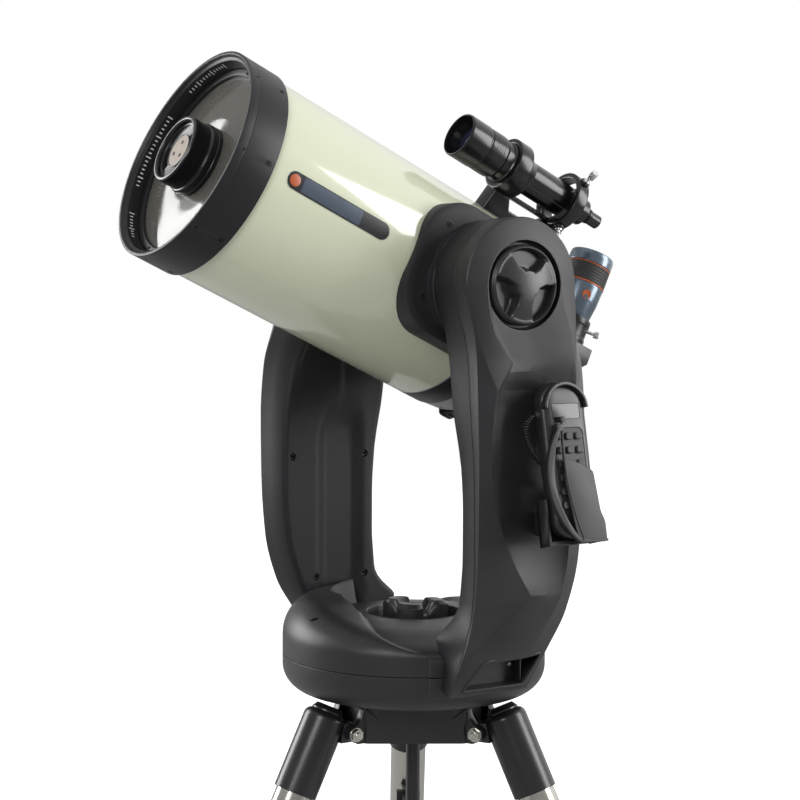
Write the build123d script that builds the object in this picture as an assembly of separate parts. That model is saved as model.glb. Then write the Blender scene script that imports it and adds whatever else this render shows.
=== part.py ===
from build123d import *
import math
import os

# A fork-mounted Schmidt-Cassegrain telescope on a folding field tripod.
# Millimetres. +Z is up, the azimuth axis is Z and the floor is z = 0.
# The altitude axis runs along X, and the tube looks towards -Y.

# Heights above the floor
ALT_Z = 1300.0
SEAM_Z = ALT_Z - 494.0
BASE_BOTTOM_Z = ALT_Z - 545.0
PIVOT_Z = 711.0

# Optical tube, measured along its own axis from the altitude axis
TUBE_ELEVATION = 24.7
TUBE_R = 135.0
TUBE_WALL = 2.0
CELL_R = 139.5
CELL_FRONT = 381.0
CELL_BACK = 325.0
TUBE_BACK = -48.0
REAR_CELL_BACK = -124.0
APERTURE_R = 117.5
CORRECTOR_T = 348.0
CORRECTOR_THICK = 6.0
SECONDARY_R = 47.0
MIRROR_T = -60.0

# Visual back, star diagonal and eyepiece
DIAGONAL_T = -258.0
EYEPIECE_TOP = 168.0
EYEPIECE_R = 31.0

# Finder, in the tube's cross-section: x sideways, n upwards
FINDER_X = 75.0
FINDER_N = 184.0
FINDER_FRONT = 69.0
FINDER_BACK = -189.0
FINDER_TUBE_R = 19.0

# Fork arms
ARM_INNER_X = 156.0
ARM_SEAM_X = 206.0
ARM_OUTER_X = 237.0
HEAD_R = 84.0
KNOB_R = 50.0
KNOB_GROOVE_R = 55.5
TRUNNION_R = 40.0
WHEEL_R = 62.0

# Drive base
BASE_R = 178.0
PAN_R = 108.0
SHAFT_R = 30.0
SHELL = 4.0

# Tripod
LEG_ANGLES = (28.0, 148.0, 268.0)
SPLAY = 25.5
LEG_AXIS_R = 146.5
LEG_PIVOT_R = 112.0
SOCKET_R = 29.0
LEG_TUBE_R = 25.4
EXTENSION_R = 22.2
ROD_R = 9.5
BRACE_Z = PIVOT_Z - 160.0

RUNNING_FIT = 0.05

WORLD = Plane.XY
ELEVATION = math.radians(TUBE_ELEVATION)
TUBE = Plane(
    origin=(0, 0, ALT_Z),
    x_dir=(1, 0, 0),
    z_dir=(0, -math.cos(ELEVATION), math.sin(ELEVATION)),
)


# ---------------------------------------------------------------- helpers

def at(place, x=0.0, y=0.0, z=0.0, turn=(0, 0, 0)):
    """A plane moved to (x, y, z) in place's own axes, then turned about them."""
    return place * Location((x, y, z), turn)


def disc(place, r, low, high):
    """A solid cylinder about a place's z axis, from low to high."""
    return place * Pos(0, 0, low) * Cylinder(r, high - low, align=(Align.CENTER, Align.CENTER, Align.MIN))


def ring(place, r_out, r_in, low, high):
    return disc(place, r_out, low, high) - disc(place, r_in, low - 1, high + 1)


def cone(place, r_low, r_high, low, high):
    shape = Cone(r_low, r_high, high - low, align=(Align.CENTER, Align.CENTER, Align.MIN))
    return place * Pos(0, 0, low) * shape


def block(place, x, y, z):
    """A box given by its (low, high) pairs along a place's axes."""
    size = (x[1] - x[0], y[1] - y[0], z[1] - z[0])
    return place * Pos(x[0], y[0], z[0]) * Box(*size, align=(Align.MIN, Align.MIN, Align.MIN))


def turned(place, outline):
    """A solid of revolution; outline is a list of (radius, height)."""
    edge = Polyline(*[(r, 0, h) for r, h in outline], close=True)
    return place * revolve(make_face(edge), Axis.Z)


def prism(place, outline, low, high):
    """A polygon in place's x-y, extruded from low to high."""
    edge = Polyline(*[(x, y, low) for x, y in outline], close=True)
    return place * extrude(make_face(edge), high - low, dir=(0, 0, 1))


def rounded_plate(place, length, width, corner, low, high):
    shape = RectangleRounded(length, width, corner)
    return place * Pos(0, 0, low) * extrude(shape, high - low)


def around(count, start=0.0):
    return [start + 360.0 * i / count for i in range(count)]


def polar(r, degrees):
    return r * math.cos(math.radians(degrees)), r * math.sin(math.radians(degrees))


def along(point, direction, x_dir=None):
    return Plane(origin=point, z_dir=direction, x_dir=x_dir)


def group(*shapes):
    """Several separate solids in one sub-part."""
    solids = []
    for shape in shapes:
        solids.extend(shape.solids())
    return Compound(children=solids)


def hex_bolt(place, r, length):
    """A bolt whose shank runs along +z from under its head."""
    cap = place * Pos(0, 0, -1.2 * r) * extrude(RegularPolygon(1.7 * r, 6), 1.2 * r)
    return cap + disc(place, r, 0, length)


# ---------------------------------------------------------------- tripod

def leg_plane(angle):
    """Origin on the leg's axis at pivot height, z up the leg, x tangential."""
    s, c = math.sin(math.radians(SPLAY)), math.cos(math.radians(SPLAY))
    ux, uy = polar(1.0, angle)
    return Plane(
        origin=(LEG_AXIS_R * ux, LEG_AXIS_R * uy, PIVOT_Z),
        x_dir=(-uy, ux, 0),
        z_dir=(-s * ux, -s * uy, c),
    )


def pivot_plane(angle):
    """Origin on the leg's pivot, z along the pivot bolt, x outwards."""
    ux, uy = polar(1.0, angle)
    return Plane(
        origin=(LEG_PIVOT_R * ux, LEG_PIVOT_R * uy, PIVOT_Z),
        x_dir=(ux, uy, 0),
        z_dir=(uy, -ux, 0),
    )


LEG_LENGTH = PIVOT_Z / math.cos(math.radians(SPLAY))
HEAD_TOP = BASE_BOTTOM_Z - 0.2
PIVOT_PIN_R = 5.0


def head_outline(reach, half):
    """The tripod head's hexagon: three short sides at the legs and three long sides between them."""
    corners = []
    for angle in LEG_ANGLES:
        ux, uy = polar(1.0, angle)
        for side in (-half, half):
            corners.append((reach * ux - side * uy, reach * uy + side * ux))
    return corners


def tripod_head():
    low = PIVOT_Z - 13
    plate = HEAD_TOP - 10
    body = prism(WORLD, head_outline(100, 40), low, HEAD_TOP) - prism(WORLD, head_outline(91, 36), low - 1, plate)
    body += disc(WORLD, 34, low - 2, plate)
    for angle in LEG_ANGLES:
        spoke = WORLD.rotated((0, 0, angle))
        body += block(spoke, (30, 88), (-3, 3), (low + 3, plate))
        side = pivot_plane(angle)
        high = plate - PIVOT_Z
        body += prism(side, [(-26, -13), (-3, -13), (-3, 4), (-9, 20), (-13, high), (-26, high)], -38, 38)
        body += disc(side, 10.5, -38, 38)
        body -= block(spoke, (92, 140), (-24, 24), (low - 10, HEAD_TOP + 1))
        body -= disc(side, PIVOT_PIN_R, -45, 45)
        x, y = polar(60, angle + 60)
        body -= disc(at(WORLD, x, y, 0), 5.2, low - 10, HEAD_TOP + 1)
    body -= disc(WORLD, ROD_R, low - 10, HEAD_TOP - 20)
    return body


def stand_bolts():
    """The three leg pivots with their nuts, and the three bolts that hold the drive base."""
    bolts = []
    nut = extrude(RegularPolygon(9, 6), 6)
    for angle in LEG_ANGLES:
        place = pivot_plane(angle)
        pivot = disc(place, PIVOT_PIN_R, -46, 46)
        pivot += place * Pos(0, 0, -44.2) * nut
        pivot += place * Pos(0, 0, 38.2) * nut
        x, y = polar(60, angle + 60)
        mounting = Plane(origin=(x, y, HEAD_TOP - 12.2), z_dir=(0, 0, 1))
        bolts += [pivot, hex_bolt(mounting, 5.0, 19.0)]
    return group(*bolts)


def center_rod():
    rod = disc(WORLD, ROD_R, PIVOT_Z - 410, HEAD_TOP - 20)
    return rod + disc(WORLD, 12, PIVOT_Z - 25, PIVOT_Z - 15.2)


def azimuth_base_plate():
    plate = disc(WORLD, PAN_R, BASE_BOTTOM_Z, BASE_BOTTOM_Z + 10)
    plate += ring(WORLD, SHAFT_R, 22, BASE_BOTTOM_Z + 10, ALT_Z - 470)
    for angle in LEG_ANGLES:
        x, y = polar(60, angle + 60)
        plate -= disc(at(WORLD, x, y, 0), 5.0, BASE_BOTTOM_Z - 1, BASE_BOTTOM_Z + 11)
    return plate


def azimuth_ring_gear():
    low = BASE_BOTTOM_Z + 16
    return ring(WORLD, 88, SHAFT_R, low, low + 10)


COLLAR_TOP = -638.0
COLLAR_BOTTOM = -700.0


def leg_castings(angle):
    """The upper socket with its hinge lug and cap, and the lower clamp collar."""
    leg = leg_plane(angle)
    socket = ring(leg, SOCKET_R, LEG_TUBE_R, -84, 24)
    socket += disc(leg, SOCKET_R, 24, 27)
    socket += cone(leg, SOCKET_R, 22, 27, 31)
    socket += cone(leg, 20, 17, 31, 37)
    pivot = pivot_plane(angle)
    lug = disc(pivot, 13, -23.6, 23.6)
    lug += block(pivot, (0, 26), (-13, 13), (-23.6, 23.6))
    lug -= disc(leg, SOCKET_R - 0.01, -120, 60)
    socket += lug
    socket -= disc(pivot, PIVOT_PIN_R + RUNNING_FIT, -30, 30)
    collar = ring(leg, 30.5, LEG_TUBE_R, COLLAR_TOP - 34, COLLAR_TOP)
    collar += ring(leg, 28.5, EXTENSION_R + 0.4, COLLAR_BOTTOM, COLLAR_TOP - 34)
    boss = at(leg, 0, 0, COLLAR_BOTTOM + 14, (90, 0, 0))
    collar += disc(boss, 11, 26, 40) - disc(leg, 27, -720, -600)
    collar -= disc(boss, 5.05, 20, 50)
    return group(socket, collar)


def leg_tube(angle):
    leg = leg_plane(angle)
    return ring(leg, LEG_TUBE_R, EXTENSION_R + 0.6, COLLAR_TOP - 34, 24)


def leg_clamp_knob(angle):
    leg = leg_plane(angle)
    place = at(leg, 0, 0, COLLAR_BOTTOM + 14, (90, 0, 0))
    knob = disc(place, 5.0, 23, 42)
    knob += disc(place, 17, 40.4, 54)
    for turn in around(6):
        x, y = polar(17, turn)
        knob -= disc(at(place, x, y, 0), 4, 40, 55)
    return knob


def leg_extension(angle):
    leg = leg_plane(angle)
    tube = ring(leg, EXTENSION_R, EXTENSION_R - 2.0, -LEG_LENGTH + 22, -260)
    foot = disc(leg, 24, -LEG_LENGTH - 12, -LEG_LENGTH + 22)
    foot -= block(WORLD, (-900, 900), (-900, 900), (-100, 0))
    return group(tube, foot)


def leg_brace():
    hub = disc(WORLD, 26, BRACE_Z - 10, BRACE_Z + 12)
    depth = PIVOT_Z - BRACE_Z
    axis_r = LEG_AXIS_R + depth * math.tan(math.radians(SPLAY))
    reach = axis_r - LEG_TUBE_R / math.cos(math.radians(SPLAY)) - 8.0
    for angle in LEG_ANGLES:
        spoke = WORLD.rotated((0, 0, angle))
        hub += block(spoke, (20, reach), (-9, 9), (BRACE_Z - 6, BRACE_Z + 6))
        pad = block(spoke, (reach - 10, reach), (-17, 17), (BRACE_Z - 6, BRACE_Z + 10))
        hub += pad
        x, y = polar(reach * 0.55, angle)
        hub += ring(at(WORLD, x, y, 0), 24, 17, BRACE_Z - 4, BRACE_Z + 4)
        hub -= disc(at(WORLD, x, y, 0), 17, BRACE_Z - 7, BRACE_Z + 7)
    return hub - disc(WORLD, ROD_R + RUNNING_FIT, 0, PIVOT_Z)


def tension_knob():
    top = BRACE_Z - 10.4
    knob = disc(WORLD, 21, top - 22, top)
    for turn in around(3):
        x, y = polar(26, turn)
        knob += disc(at(WORLD, x, y, 0), 13, top - 20, top - 2)
    return knob - disc(WORLD, ROD_R + RUNNING_FIT, 0, PIVOT_Z)


# ---------------------------------------------------------------- fork arms

# An arm's outline is given as (y, height above the altitude axis) at its inner
# face, at the seam between its two halves and at its outer face.  The arms are
# the same castings turned half round, so the far arm leans the other way.
FRONT_INNER = [(-60, -60), (-52, -157), (-38, -236), (-34, -346), (-39, -404), (-56, -428), (-70, -445)]
FRONT_SEAM = [(-64, -60), (-57, -157), (-51, -236), (-49, -346), (-52, -404), (-60, -438), (-73, -475)]
FRONT_OUTER = [(-68, -62), (-52, -157), (-47, -236), (-42, -320), (-36, -380), (-50, -436), (-74, -475)]
REAR_INNER = [(72, -60), (98, -110), (113, -180), (114, -270), (108, -350), (90, -410), (66, -460)]
REAR_SEAM = [(96, -50), (117, -110), (122, -180), (121, -270), (115, -350), (97, -415), (66, -465)]
REAR_OUTER = [(84, -40), (87, -110), (86, -180), (82, -270), (76, -350), (62, -415), (40, -465)]
FOOT_INNER = ((-66, -511), (36, -511))
FOOT_SEAM = ((-87, -511), (34, -511))
FOOT_OUTER = ((-85, -509), (24, -509))


def arm_section(x, head_r, front, rear, foot):
    """A closed outline in the Y-Z plane at a distance x from the azimuth axis."""
    def point(pair):
        return (x, pair[0], ALT_Z + pair[1])

    left, right = front[0], rear[0]
    head = ThreePointArc(point((-head_r, 0)), point((0, head_r)), point((head_r, 0)))
    rear_edge = Spline(point((head_r, 0)), *[point(p) for p in rear], point(foot[1]))
    floor_edge = Line(point(foot[1]), point(foot[0]))
    front_edge = Spline(point(foot[0]), *[point(p) for p in reversed(front)], point((-head_r, 0)))
    return make_face(head + rear_edge + floor_edge + front_edge)


def arm_half(sections):
    return loft([arm_section(*section) for section in sections], ruled=True)


INNER = (ARM_INNER_X, HEAD_R - 2, FRONT_INNER, REAR_INNER, FOOT_INNER)
SEAM = (ARM_SEAM_X, HEAD_R, FRONT_SEAM, REAR_SEAM, FOOT_SEAM)
OUTER = (ARM_OUTER_X, HEAD_R - 2, FRONT_OUTER, REAR_OUTER, FOOT_OUTER)
ALT_AXIS = Plane(origin=(0, 0, ALT_Z), x_dir=(0, 1, 0), z_dir=(1, 0, 0))
HANDLE = [(-64, -503), (-37, -469), (52, -468), (26, -503)]
PANEL = [(-14, -97), (80, -93), (74, -350), (62, -388), (22, -388), (-8, -345), (-32, -285), (-40, -205),
         (-34, -132)]
PANEL_DEPTH = 8.0


def arm_frame():
    """Inner half: an open-backed casting with the altitude bearing."""
    frame = arm_half((INNER, SEAM))
    pocket = [(-40, 40), (40, 40), (88, -110), (96, -260), (86, -370), (-10, -420), (-18, -260), (-36, -110)]
    frame -= prism(ALT_AXIS, pocket, ARM_INNER_X + 14, ARM_SEAM_X + 5)
    frame -= disc(ALT_AXIS, WHEEL_R + 5, ARM_INNER_X + 14, ARM_SEAM_X + 5)
    frame -= disc(ALT_AXIS, TRUNNION_R + RUNNING_FIT, ARM_INNER_X - 5, ARM_SEAM_X)
    channel = RectangleRounded(34, 300, 16)
    frame -= ALT_AXIS * Pos(22, -318, ARM_INNER_X - 5) * extrude(channel, 13)
    return frame


def arm_cover(with_knob):
    """Outer half: a bevelled moulded shell with its hand hold and, on one arm, the knob's well."""
    cover = arm_half((SEAM, OUTER))
    taper = prism(
        WORLD.rotated((90, 0, 0)),
        [(ARM_OUTER_X + 20, ALT_Z - 330), (ARM_OUTER_X, ALT_Z - 330), (ARM_OUTER_X - 24, ALT_Z - 520),
         (ARM_OUTER_X + 20, ALT_Z - 520)],
        -300,
        300,
    )
    cover -= taper
    pocket = [(-40, 40), (40, 40), (74, -40), (76, -260), (60, -370), (-10, -400), (-32, -260), (-44, -60)]
    cover -= prism(ALT_AXIS, pocket, ARM_SEAM_X - 5, ARM_OUTER_X - 14)
    if with_knob:
        cover -= disc(ALT_AXIS, KNOB_GROOVE_R, ARM_OUTER_X - 10, ARM_OUTER_X + 5)
        cover -= disc(ALT_AXIS, 8 + RUNNING_FIT, ARM_SEAM_X - 5, ARM_OUTER_X + 5)
    cover -= prism(ALT_AXIS, HANDLE, ARM_SEAM_X - 5, ARM_OUTER_X + 5)
    cover -= prism(ALT_AXIS, PANEL, ARM_OUTER_X - PANEL_DEPTH, ARM_OUTER_X + 5)
    if with_knob:
        cover += block(plug_plane(), (-14, 7), (-9, 9), (16, 30)) - handset_plug()
    return cover


def hand_hold_cut(body):
    return body - prism(ALT_AXIS, HANDLE, ARM_SEAM_X - 18, ARM_OUTER_X + 5)


def half_round(shape):
    """The same casting turned half round about the azimuth axis."""
    return Rot(0, 0, 180) * shape


# ---------------------------------------------------------------- drive base

def base_profile(shrink):
    r = BASE_R - shrink
    top = ALT_Z - 440 - shrink
    return [
        (0, SEAM_Z),
        (r, SEAM_Z),
        (r, ALT_Z - 470),
        (r - 3, ALT_Z - 465 - shrink * 0.5),
        (150, ALT_Z - 454 - shrink),
        (110, top - 3),
        (75, top),
        (0, top),
    ]


def base_shoulder(start, sweep, crown, inner):
    """A raised quarter of the base's top, beside one arm's foot."""
    rim = ALT_Z - 469
    rise = crown - rim
    width = BASE_R - inner - 22
    outline = [(inner, rim + 14), (inner, crown - 9), (inner + 4, crown - 3), (inner + 12, crown)]
    for step in range(1, 9):
        turn = math.radians(90 * step / 8)
        outline.append((BASE_R - width + width * math.sin(turn), rim + rise * math.cos(turn)))
    outline += [(BASE_R, rim - 2), (BASE_R - 3, rim - 2), (150, rim + 8)]
    edge = Polyline(*[(r, 0, h) for r, h in outline], close=True)
    return Rot(0, 0, start) * revolve(make_face(edge), Axis.Z, sweep)


def base_upper_housing(arms):
    body = turned(WORLD, base_profile(0))
    body -= turned(WORLD, base_profile(SHELL)).moved(Location((0, 0, -0.01)))
    well = ring(WORLD, 66, 62, ALT_Z - 474, ALT_Z - 436)
    for turn in (0, 180):
        body += base_shoulder(turn + 200, 92, ALT_Z - 416, 98)
        body += base_shoulder(turn + 290, 26, ALT_Z - 440, 118)
    body -= disc(WORLD, 64, ALT_Z - 480, ALT_Z - 400)
    body += well
    body += ring(WORLD, 62, 12, ALT_Z - 469, ALT_Z - 465)
    body += ring(WORLD, 44, SHAFT_R + RUNNING_FIT, ALT_Z - 516, ALT_Z - 480)
    body += ring(WORLD, BASE_R - SHELL, 43, ALT_Z - 484, ALT_Z - 480)
    for arm in arms:
        body -= arm
    return body


def base_lower_housing(arms):
    low = BASE_BOTTOM_Z + 1
    outer = [
        (PAN_R + 4, low), (143, low), (158, low + 4), (169, low + 12), (176, low + 26), (BASE_R, low + 36),
        (BASE_R, SEAM_Z - 0.4), (BASE_R - SHELL, SEAM_Z - 0.4), (BASE_R - SHELL, low + 37), (172, low + 28),
        (166, low + 15), (156, low + 8), (143, low + 4), (PAN_R + 4, low + 4),
    ]
    body = turned(WORLD, outer)
    for arm in arms:
        body -= arm
    socket = block(WORLD, (-36, 36), (BASE_R - 30, BASE_R + 5), (ALT_Z - 516, SEAM_Z + 1))
    return body - socket


def azimuth_lock_knob():
    """Three-lobed clutch knob in the well at the middle of the base."""
    low = ALT_Z - 463
    knob = disc(WORLD, 27, low, low + 24)
    for turn in around(3, 76):
        x, y = polar(28, turn)
        knob += disc(at(WORLD, x, y, 0), 20, low, low + 39)
    return knob + disc(WORLD, 12 - RUNNING_FIT, ALT_Z - 468, low)


def control_panel():
    """Power and accessory socket panel let into the base's rear edge."""
    panel = block(WORLD, (-35.6, 35.6), (BASE_R - 28, BASE_R - 6), (ALT_Z - 515.6, SEAM_Z))
    face = along((0, BASE_R - 6, ALT_Z - 506), (0, -1, 0), (1, 0, 0))
    panel -= disc(at(face, -22, 0, 0), 5.5, -2, 12)
    panel -= block(face, (-8, 8), (-7, 7), (-2, 14))
    for x in (17, 28):
        panel -= block(face, (x - 4.4, x + 4.4), (-4, 5), (-2, 12))
    return panel


def power_switch():
    face = along((0, BASE_R - 6, ALT_Z - 506), (0, -1, 0), (1, 0, 0))
    rocker = block(face, (-7.4, 7.4), (-5.2, 5.2), (0.5, 9))
    return rocker + prism(at(face, 0, 0, 0, (0, 90, 0)), [(1, -5.2), (-2.5, -4.7), (-0.4, 5.2), (1, 5.2)], -7.4, 7.4)


# ---------------------------------------------------------------- tube assembly

def tube_ring(r_out, r_in, low, high):
    return ring(TUBE, r_out, r_in, low, high)


def front_cell():
    cell = turned(TUBE, [
        (TUBE_R, CELL_BACK), (CELL_R, CELL_BACK), (CELL_R, CELL_FRONT - 2), (CELL_R - 2, CELL_FRONT),
        (CELL_R - 4, CELL_FRONT), (CELL_R - 6, CELL_FRONT - 4), (127, CORRECTOR_T + 12),
        (127, CORRECTOR_T + 7), (119, CORRECTOR_T + 6), (APERTURE_R, CORRECTOR_T + CORRECTOR_THICK),
        (APERTURE_R + 3, CORRECTOR_T + CORRECTOR_THICK), (APERTURE_R + 3, CORRECTOR_T),
        (APERTURE_R, CORRECTOR_T), (APERTURE_R, CORRECTOR_T - 6), (TUBE_R, CORRECTOR_T - 12),
    ])
    return cell


def corrector_plate():
    return tube_ring(APERTURE_R + 3, 38, CORRECTOR_T, CORRECTOR_T + CORRECTOR_THICK)


def secondary_housing():
    return turned(TUBE, [
        (0, CORRECTOR_T - 14), (37.9, CORRECTOR_T - 14), (37.9, CORRECTOR_T + CORRECTOR_THICK),
        (SECONDARY_R, CORRECTOR_T + CORRECTOR_THICK), (SECONDARY_R, CORRECTOR_T + 22),
        (SECONDARY_R - 3, CORRECTOR_T + 24), (SECONDARY_R - 3, CORRECTOR_T + 46),
        (SECONDARY_R - 6, CORRECTOR_T + 46), (SECONDARY_R - 8, CORRECTOR_T + 38), (0, CORRECTOR_T + 38),
    ])


def secondary_mirror():
    return disc(TUBE, 33, CORRECTOR_T - 26, CORRECTOR_T - 14)


def optical_tube():
    return tube_ring(TUBE_R, TUBE_R - TUBE_WALL, TUBE_BACK, CORRECTOR_T - 12)


MIRROR_LOCKS = (262.0, 338.0)
FOCUS_ANGLE = 300.0
LOCK_CIRCLE_R = 121.0
FOCUS_CIRCLE_R = 88.0
REAR_FLOOR = REAR_CELL_BACK + 12


def rear_cell():
    cell = turned(TUBE, [
        (TUBE_R - TUBE_WALL, TUBE_BACK), (TUBE_R - TUBE_WALL, TUBE_BACK + 14), (TUBE_R - 8, TUBE_BACK + 14),
        (TUBE_R - 8, REAR_FLOOR + 6), (52, REAR_FLOOR), (32, REAR_FLOOR), (32, REAR_CELL_BACK - 8),
        (50, REAR_CELL_BACK - 8), (56, REAR_CELL_BACK), (125, REAR_CELL_BACK), (131, REAR_CELL_BACK + 6),
        (TUBE_R - 1, -88), (TUBE_R, -86), (TUBE_R, TUBE_BACK),
    ])
    for angle in MIRROR_LOCKS:
        x, y = polar(LOCK_CIRCLE_R, angle)
        cell -= disc(at(TUBE, x, y, 0), 4 + RUNNING_FIT, REAR_CELL_BACK - 10, REAR_FLOOR + 20)
    x, y = polar(FOCUS_CIRCLE_R, FOCUS_ANGLE)
    cell -= disc(at(TUBE, x, y, 0), 5 + RUNNING_FIT, REAR_CELL_BACK - 10, REAR_FLOOR + 20)
    for angle in (60, 120):
        x, y = polar(104, angle)
        cell -= disc(at(TUBE, x, y, 0), 2.1, REAR_CELL_BACK - 1, REAR_CELL_BACK + 10)
    return cell


def mirror_lock_knob(angle):
    x, y = polar(LOCK_CIRCLE_R, angle)
    place = at(TUBE, x, y, 0)
    knob = disc(place, 4, REAR_CELL_BACK - 16, REAR_FLOOR + 6)
    return knob + disc(place, 18, REAR_CELL_BACK - 16, REAR_CELL_BACK - 0.6)


def focus_knob():
    x, y = polar(FOCUS_CIRCLE_R, FOCUS_ANGLE)
    place = at(TUBE, x, y, 0)
    knob = disc(place, 5, REAR_CELL_BACK - 38, REAR_FLOOR + 10)
    return knob + disc(place, 17, REAR_CELL_BACK - 38, REAR_CELL_BACK - 0.6)


def primary_mirror():
    return tube_ring(119, 34, MIRROR_T - 14, MIRROR_T + 8)


def baffle_tube():
    tube = tube_ring(25, 23, REAR_FLOOR + 1, 150)
    return tube + tube_ring(31.9, 23, REAR_CELL_BACK + 2, REAR_FLOOR + 1)


def altitude_saddles():
    saddles = []
    for sign in (1, -1):
        flank = at(TUBE, 0, 0, 0, (0, 90 * sign, 0))
        plate = rounded_plate(flank, 210, 176, 62, 96, ARM_INNER_X - 5)
        plate += disc(flank, HEAD_R - 4, ARM_INNER_X - 5, ARM_INNER_X - 0.5)
        plate -= disc(TUBE, TUBE_R, -300, 300)
        plate += disc(flank, TRUNNION_R, ARM_INNER_X - 0.5, ARM_INNER_X + 24)
        plate -= block(flank, (-200, 200), (-200, 200), (-50, 96))
        saddles.append(plate)
    return group(*saddles)


def altitude_wheel():
    return disc(ALT_AXIS, WHEEL_R, ARM_INNER_X + 24, ARM_INNER_X + 34)


def visual_back():
    back = turned(TUBE, [
        (25.8, REAR_CELL_BACK - 8), (31, REAR_CELL_BACK - 8), (44, REAR_CELL_BACK - 9),
        (44, REAR_CELL_BACK - 26), (34, REAR_CELL_BACK - 32), (34, -185), (30, -188), (25.8, -188),
    ])
    return back


EYE = along(TUBE.from_local_coords((0, 0, DIAGONAL_T)), TUBE.y_dir, (1, 0, 0))


def star_diagonal():
    """Nose barrel, mirror housing with its slanted back, and the eyepiece collar."""
    body = block(TUBE, (-31, 31), (-31, 36), (DIAGONAL_T - 34, -206))
    back = [(DIAGONAL_T - 50, -40), (DIAGONAL_T - 50, 18), (DIAGONAL_T + 12, -40)]
    body -= prism(at(TUBE, 0, 0, 0, (0, -90, 0)), back, -60, 60)
    body -= disc(TUBE, 24, DIAGONAL_T, -200)
    body -= disc(EYE, 25.6, 0, 60)
    body += ring(EYE, 31, 25.6, 36, 72)
    body += ring(TUBE, 25.75, 22, -212, REAR_CELL_BACK - 12)
    return body - disc(diagonal_screw_plane(), 2.5 + RUNNING_FIT, 20, 40)


def diagonal_screw_plane():
    """z points away from the collar, backwards and towards the near arm."""
    turn = math.radians(35.0)
    back = TUBE.z_dir * -math.cos(turn)
    sideways = Vector(1, 0, 0) * math.sin(turn)
    return along(TUBE.from_local_coords((0, 60, DIAGONAL_T)), back + sideways)


def diagonal_thumbscrew():
    place = diagonal_screw_plane()
    return disc(place, 2.5, 26, 48) + disc(place, 5, 40, 48)


def eyepiece():
    barrel = disc(EYE, 25.55, 34, 72.4)
    body = turned(EYE, [(0, 72.4), (26, 72.4), (29, 84), (EYEPIECE_R, 100), (EYEPIECE_R + 1, 122),
                        (EYEPIECE_R + 1, 150), (EYEPIECE_R - 2, 150), (EYEPIECE_R - 2, 161), (0, 161)])
    return barrel + body


def eyecup():
    return ring(EYE, EYEPIECE_R + 1, EYEPIECE_R - 1.7, 150.6, EYEPIECE_TOP)


FINDER = at(TUBE, FINDER_X, FINDER_N, 0)
RING_FRONT = (-34.0, -12.0)
RING_REAR = (-134.0, -116.0)
FINDER_SCREWS = (-75.0, 41.0)


def finder_bracket():
    bracket = ring(FINDER, 36, 29.4, *RING_FRONT)
    bracket += ring(FINDER, 39, 31, *RING_REAR)
    inward = math.degrees(math.atan2(-FINDER_N, -FINDER_X))
    down = at(TUBE, FINDER_X, FINDER_N, 0, (0, 0, inward))
    bracket += block(down, (33, 64.5), (-14, 14), (RING_REAR[0], RING_FRONT[1] - 4)) - disc(FINDER, 31, -300, 300)
    bracket -= block(down, (36, 52), (-30, 30), (-112, -42))
    bracket -= disc(TUBE, TUBE_R + 0.2, -400, 400)
    for angle in FINDER_SCREWS:
        screw = at(FINDER, 0, 0, -125, (0, 0, angle)) * Rot(0, 90, 0)
        bracket -= disc(screw, 2.6, 28, 45)
    return bracket


def finder_scope():
    return turned(FINDER, [
        (0, FINDER_BACK), (9.5, FINDER_BACK), (9.5, -160), (17, -158), (17, -146), (FINDER_TUBE_R, -144),
        (FINDER_TUBE_R, -50), (24, -44), (29.3, -36), (29.3, -10), (27, -8), (27, 2), (29.5, 6), (29.5, 34),
        (30, 36), (30, FINDER_FRONT), (27.5, FINDER_FRONT), (26.5, 30), (0, 30),
    ])


def finder_thumbscrews():
    screws = []
    for angle in FINDER_SCREWS:
        place = at(FINDER, 0, 0, -125, (0, 0, angle)) * Rot(0, 90, 0)
        screws.append(disc(place, 2.5, FINDER_TUBE_R + 0.1, 62) + disc(place, 5, 50, 62))
    return group(*screws)


# ---------------------------------------------------------------- fork details

def altitude_worm():
    place = along((ARM_INNER_X + 29, -26, ALT_Z - WHEEL_R - 8.4), (0, 1, 0), (1, 0, 0))
    return disc(place, 8, 0, 44)


def azimuth_worm():
    place = along((-40, -97.4, BASE_BOTTOM_Z + 21), (1, 0, 0), (0, 1, 0))
    return disc(place, 9, 0, 70)


def drive_motors():
    altitude = along((ARM_INNER_X + 36, 22, ALT_Z - WHEEL_R - 30), (0, 1, 0), (1, 0, 0))
    azimuth = along((40, -100, BASE_BOTTOM_Z + 33), (1, 0, 0), (0, 1, 0))
    return group(disc(altitude, 14, 0, 50), disc(azimuth, 15, 0, 40))


def main_circuit_board():
    return block(WORLD, (-60, 60), (95, 140), (BASE_BOTTOM_Z + 46, BASE_BOTTOM_Z + 48))


def fork_screws():
    """Cover screws at the inner faces of both arms."""
    screws = []
    for y, h in ((99, -238), (-19, -238), (60, -410), (-20, -410)):
        place = along((ARM_INNER_X + 1, y, ALT_Z + h), (1, 0, 0))
        screw = disc(place, 2.5, 1, 18) + disc(place, 4.5, 0, 4)
        screws.append(screw)
        screws.append(half_round(screw))
    return screws


def altitude_clutch_knob():
    knob = disc(ALT_AXIS, 8, ARM_INNER_X + 36, ARM_OUTER_X - 9)
    knob += disc(ALT_AXIS, KNOB_R, ARM_OUTER_X - 9, ARM_OUTER_X + 2)
    knob += cone(ALT_AXIS, KNOB_R, 22, ARM_OUTER_X + 2, ARM_OUTER_X + 12)
    for turn in around(3, 100):
        x, y = polar(34, turn)
        knob -= disc(at(ALT_AXIS, x, y, 0), 13, ARM_OUTER_X - 3, ARM_OUTER_X + 20)
    return knob


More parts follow.
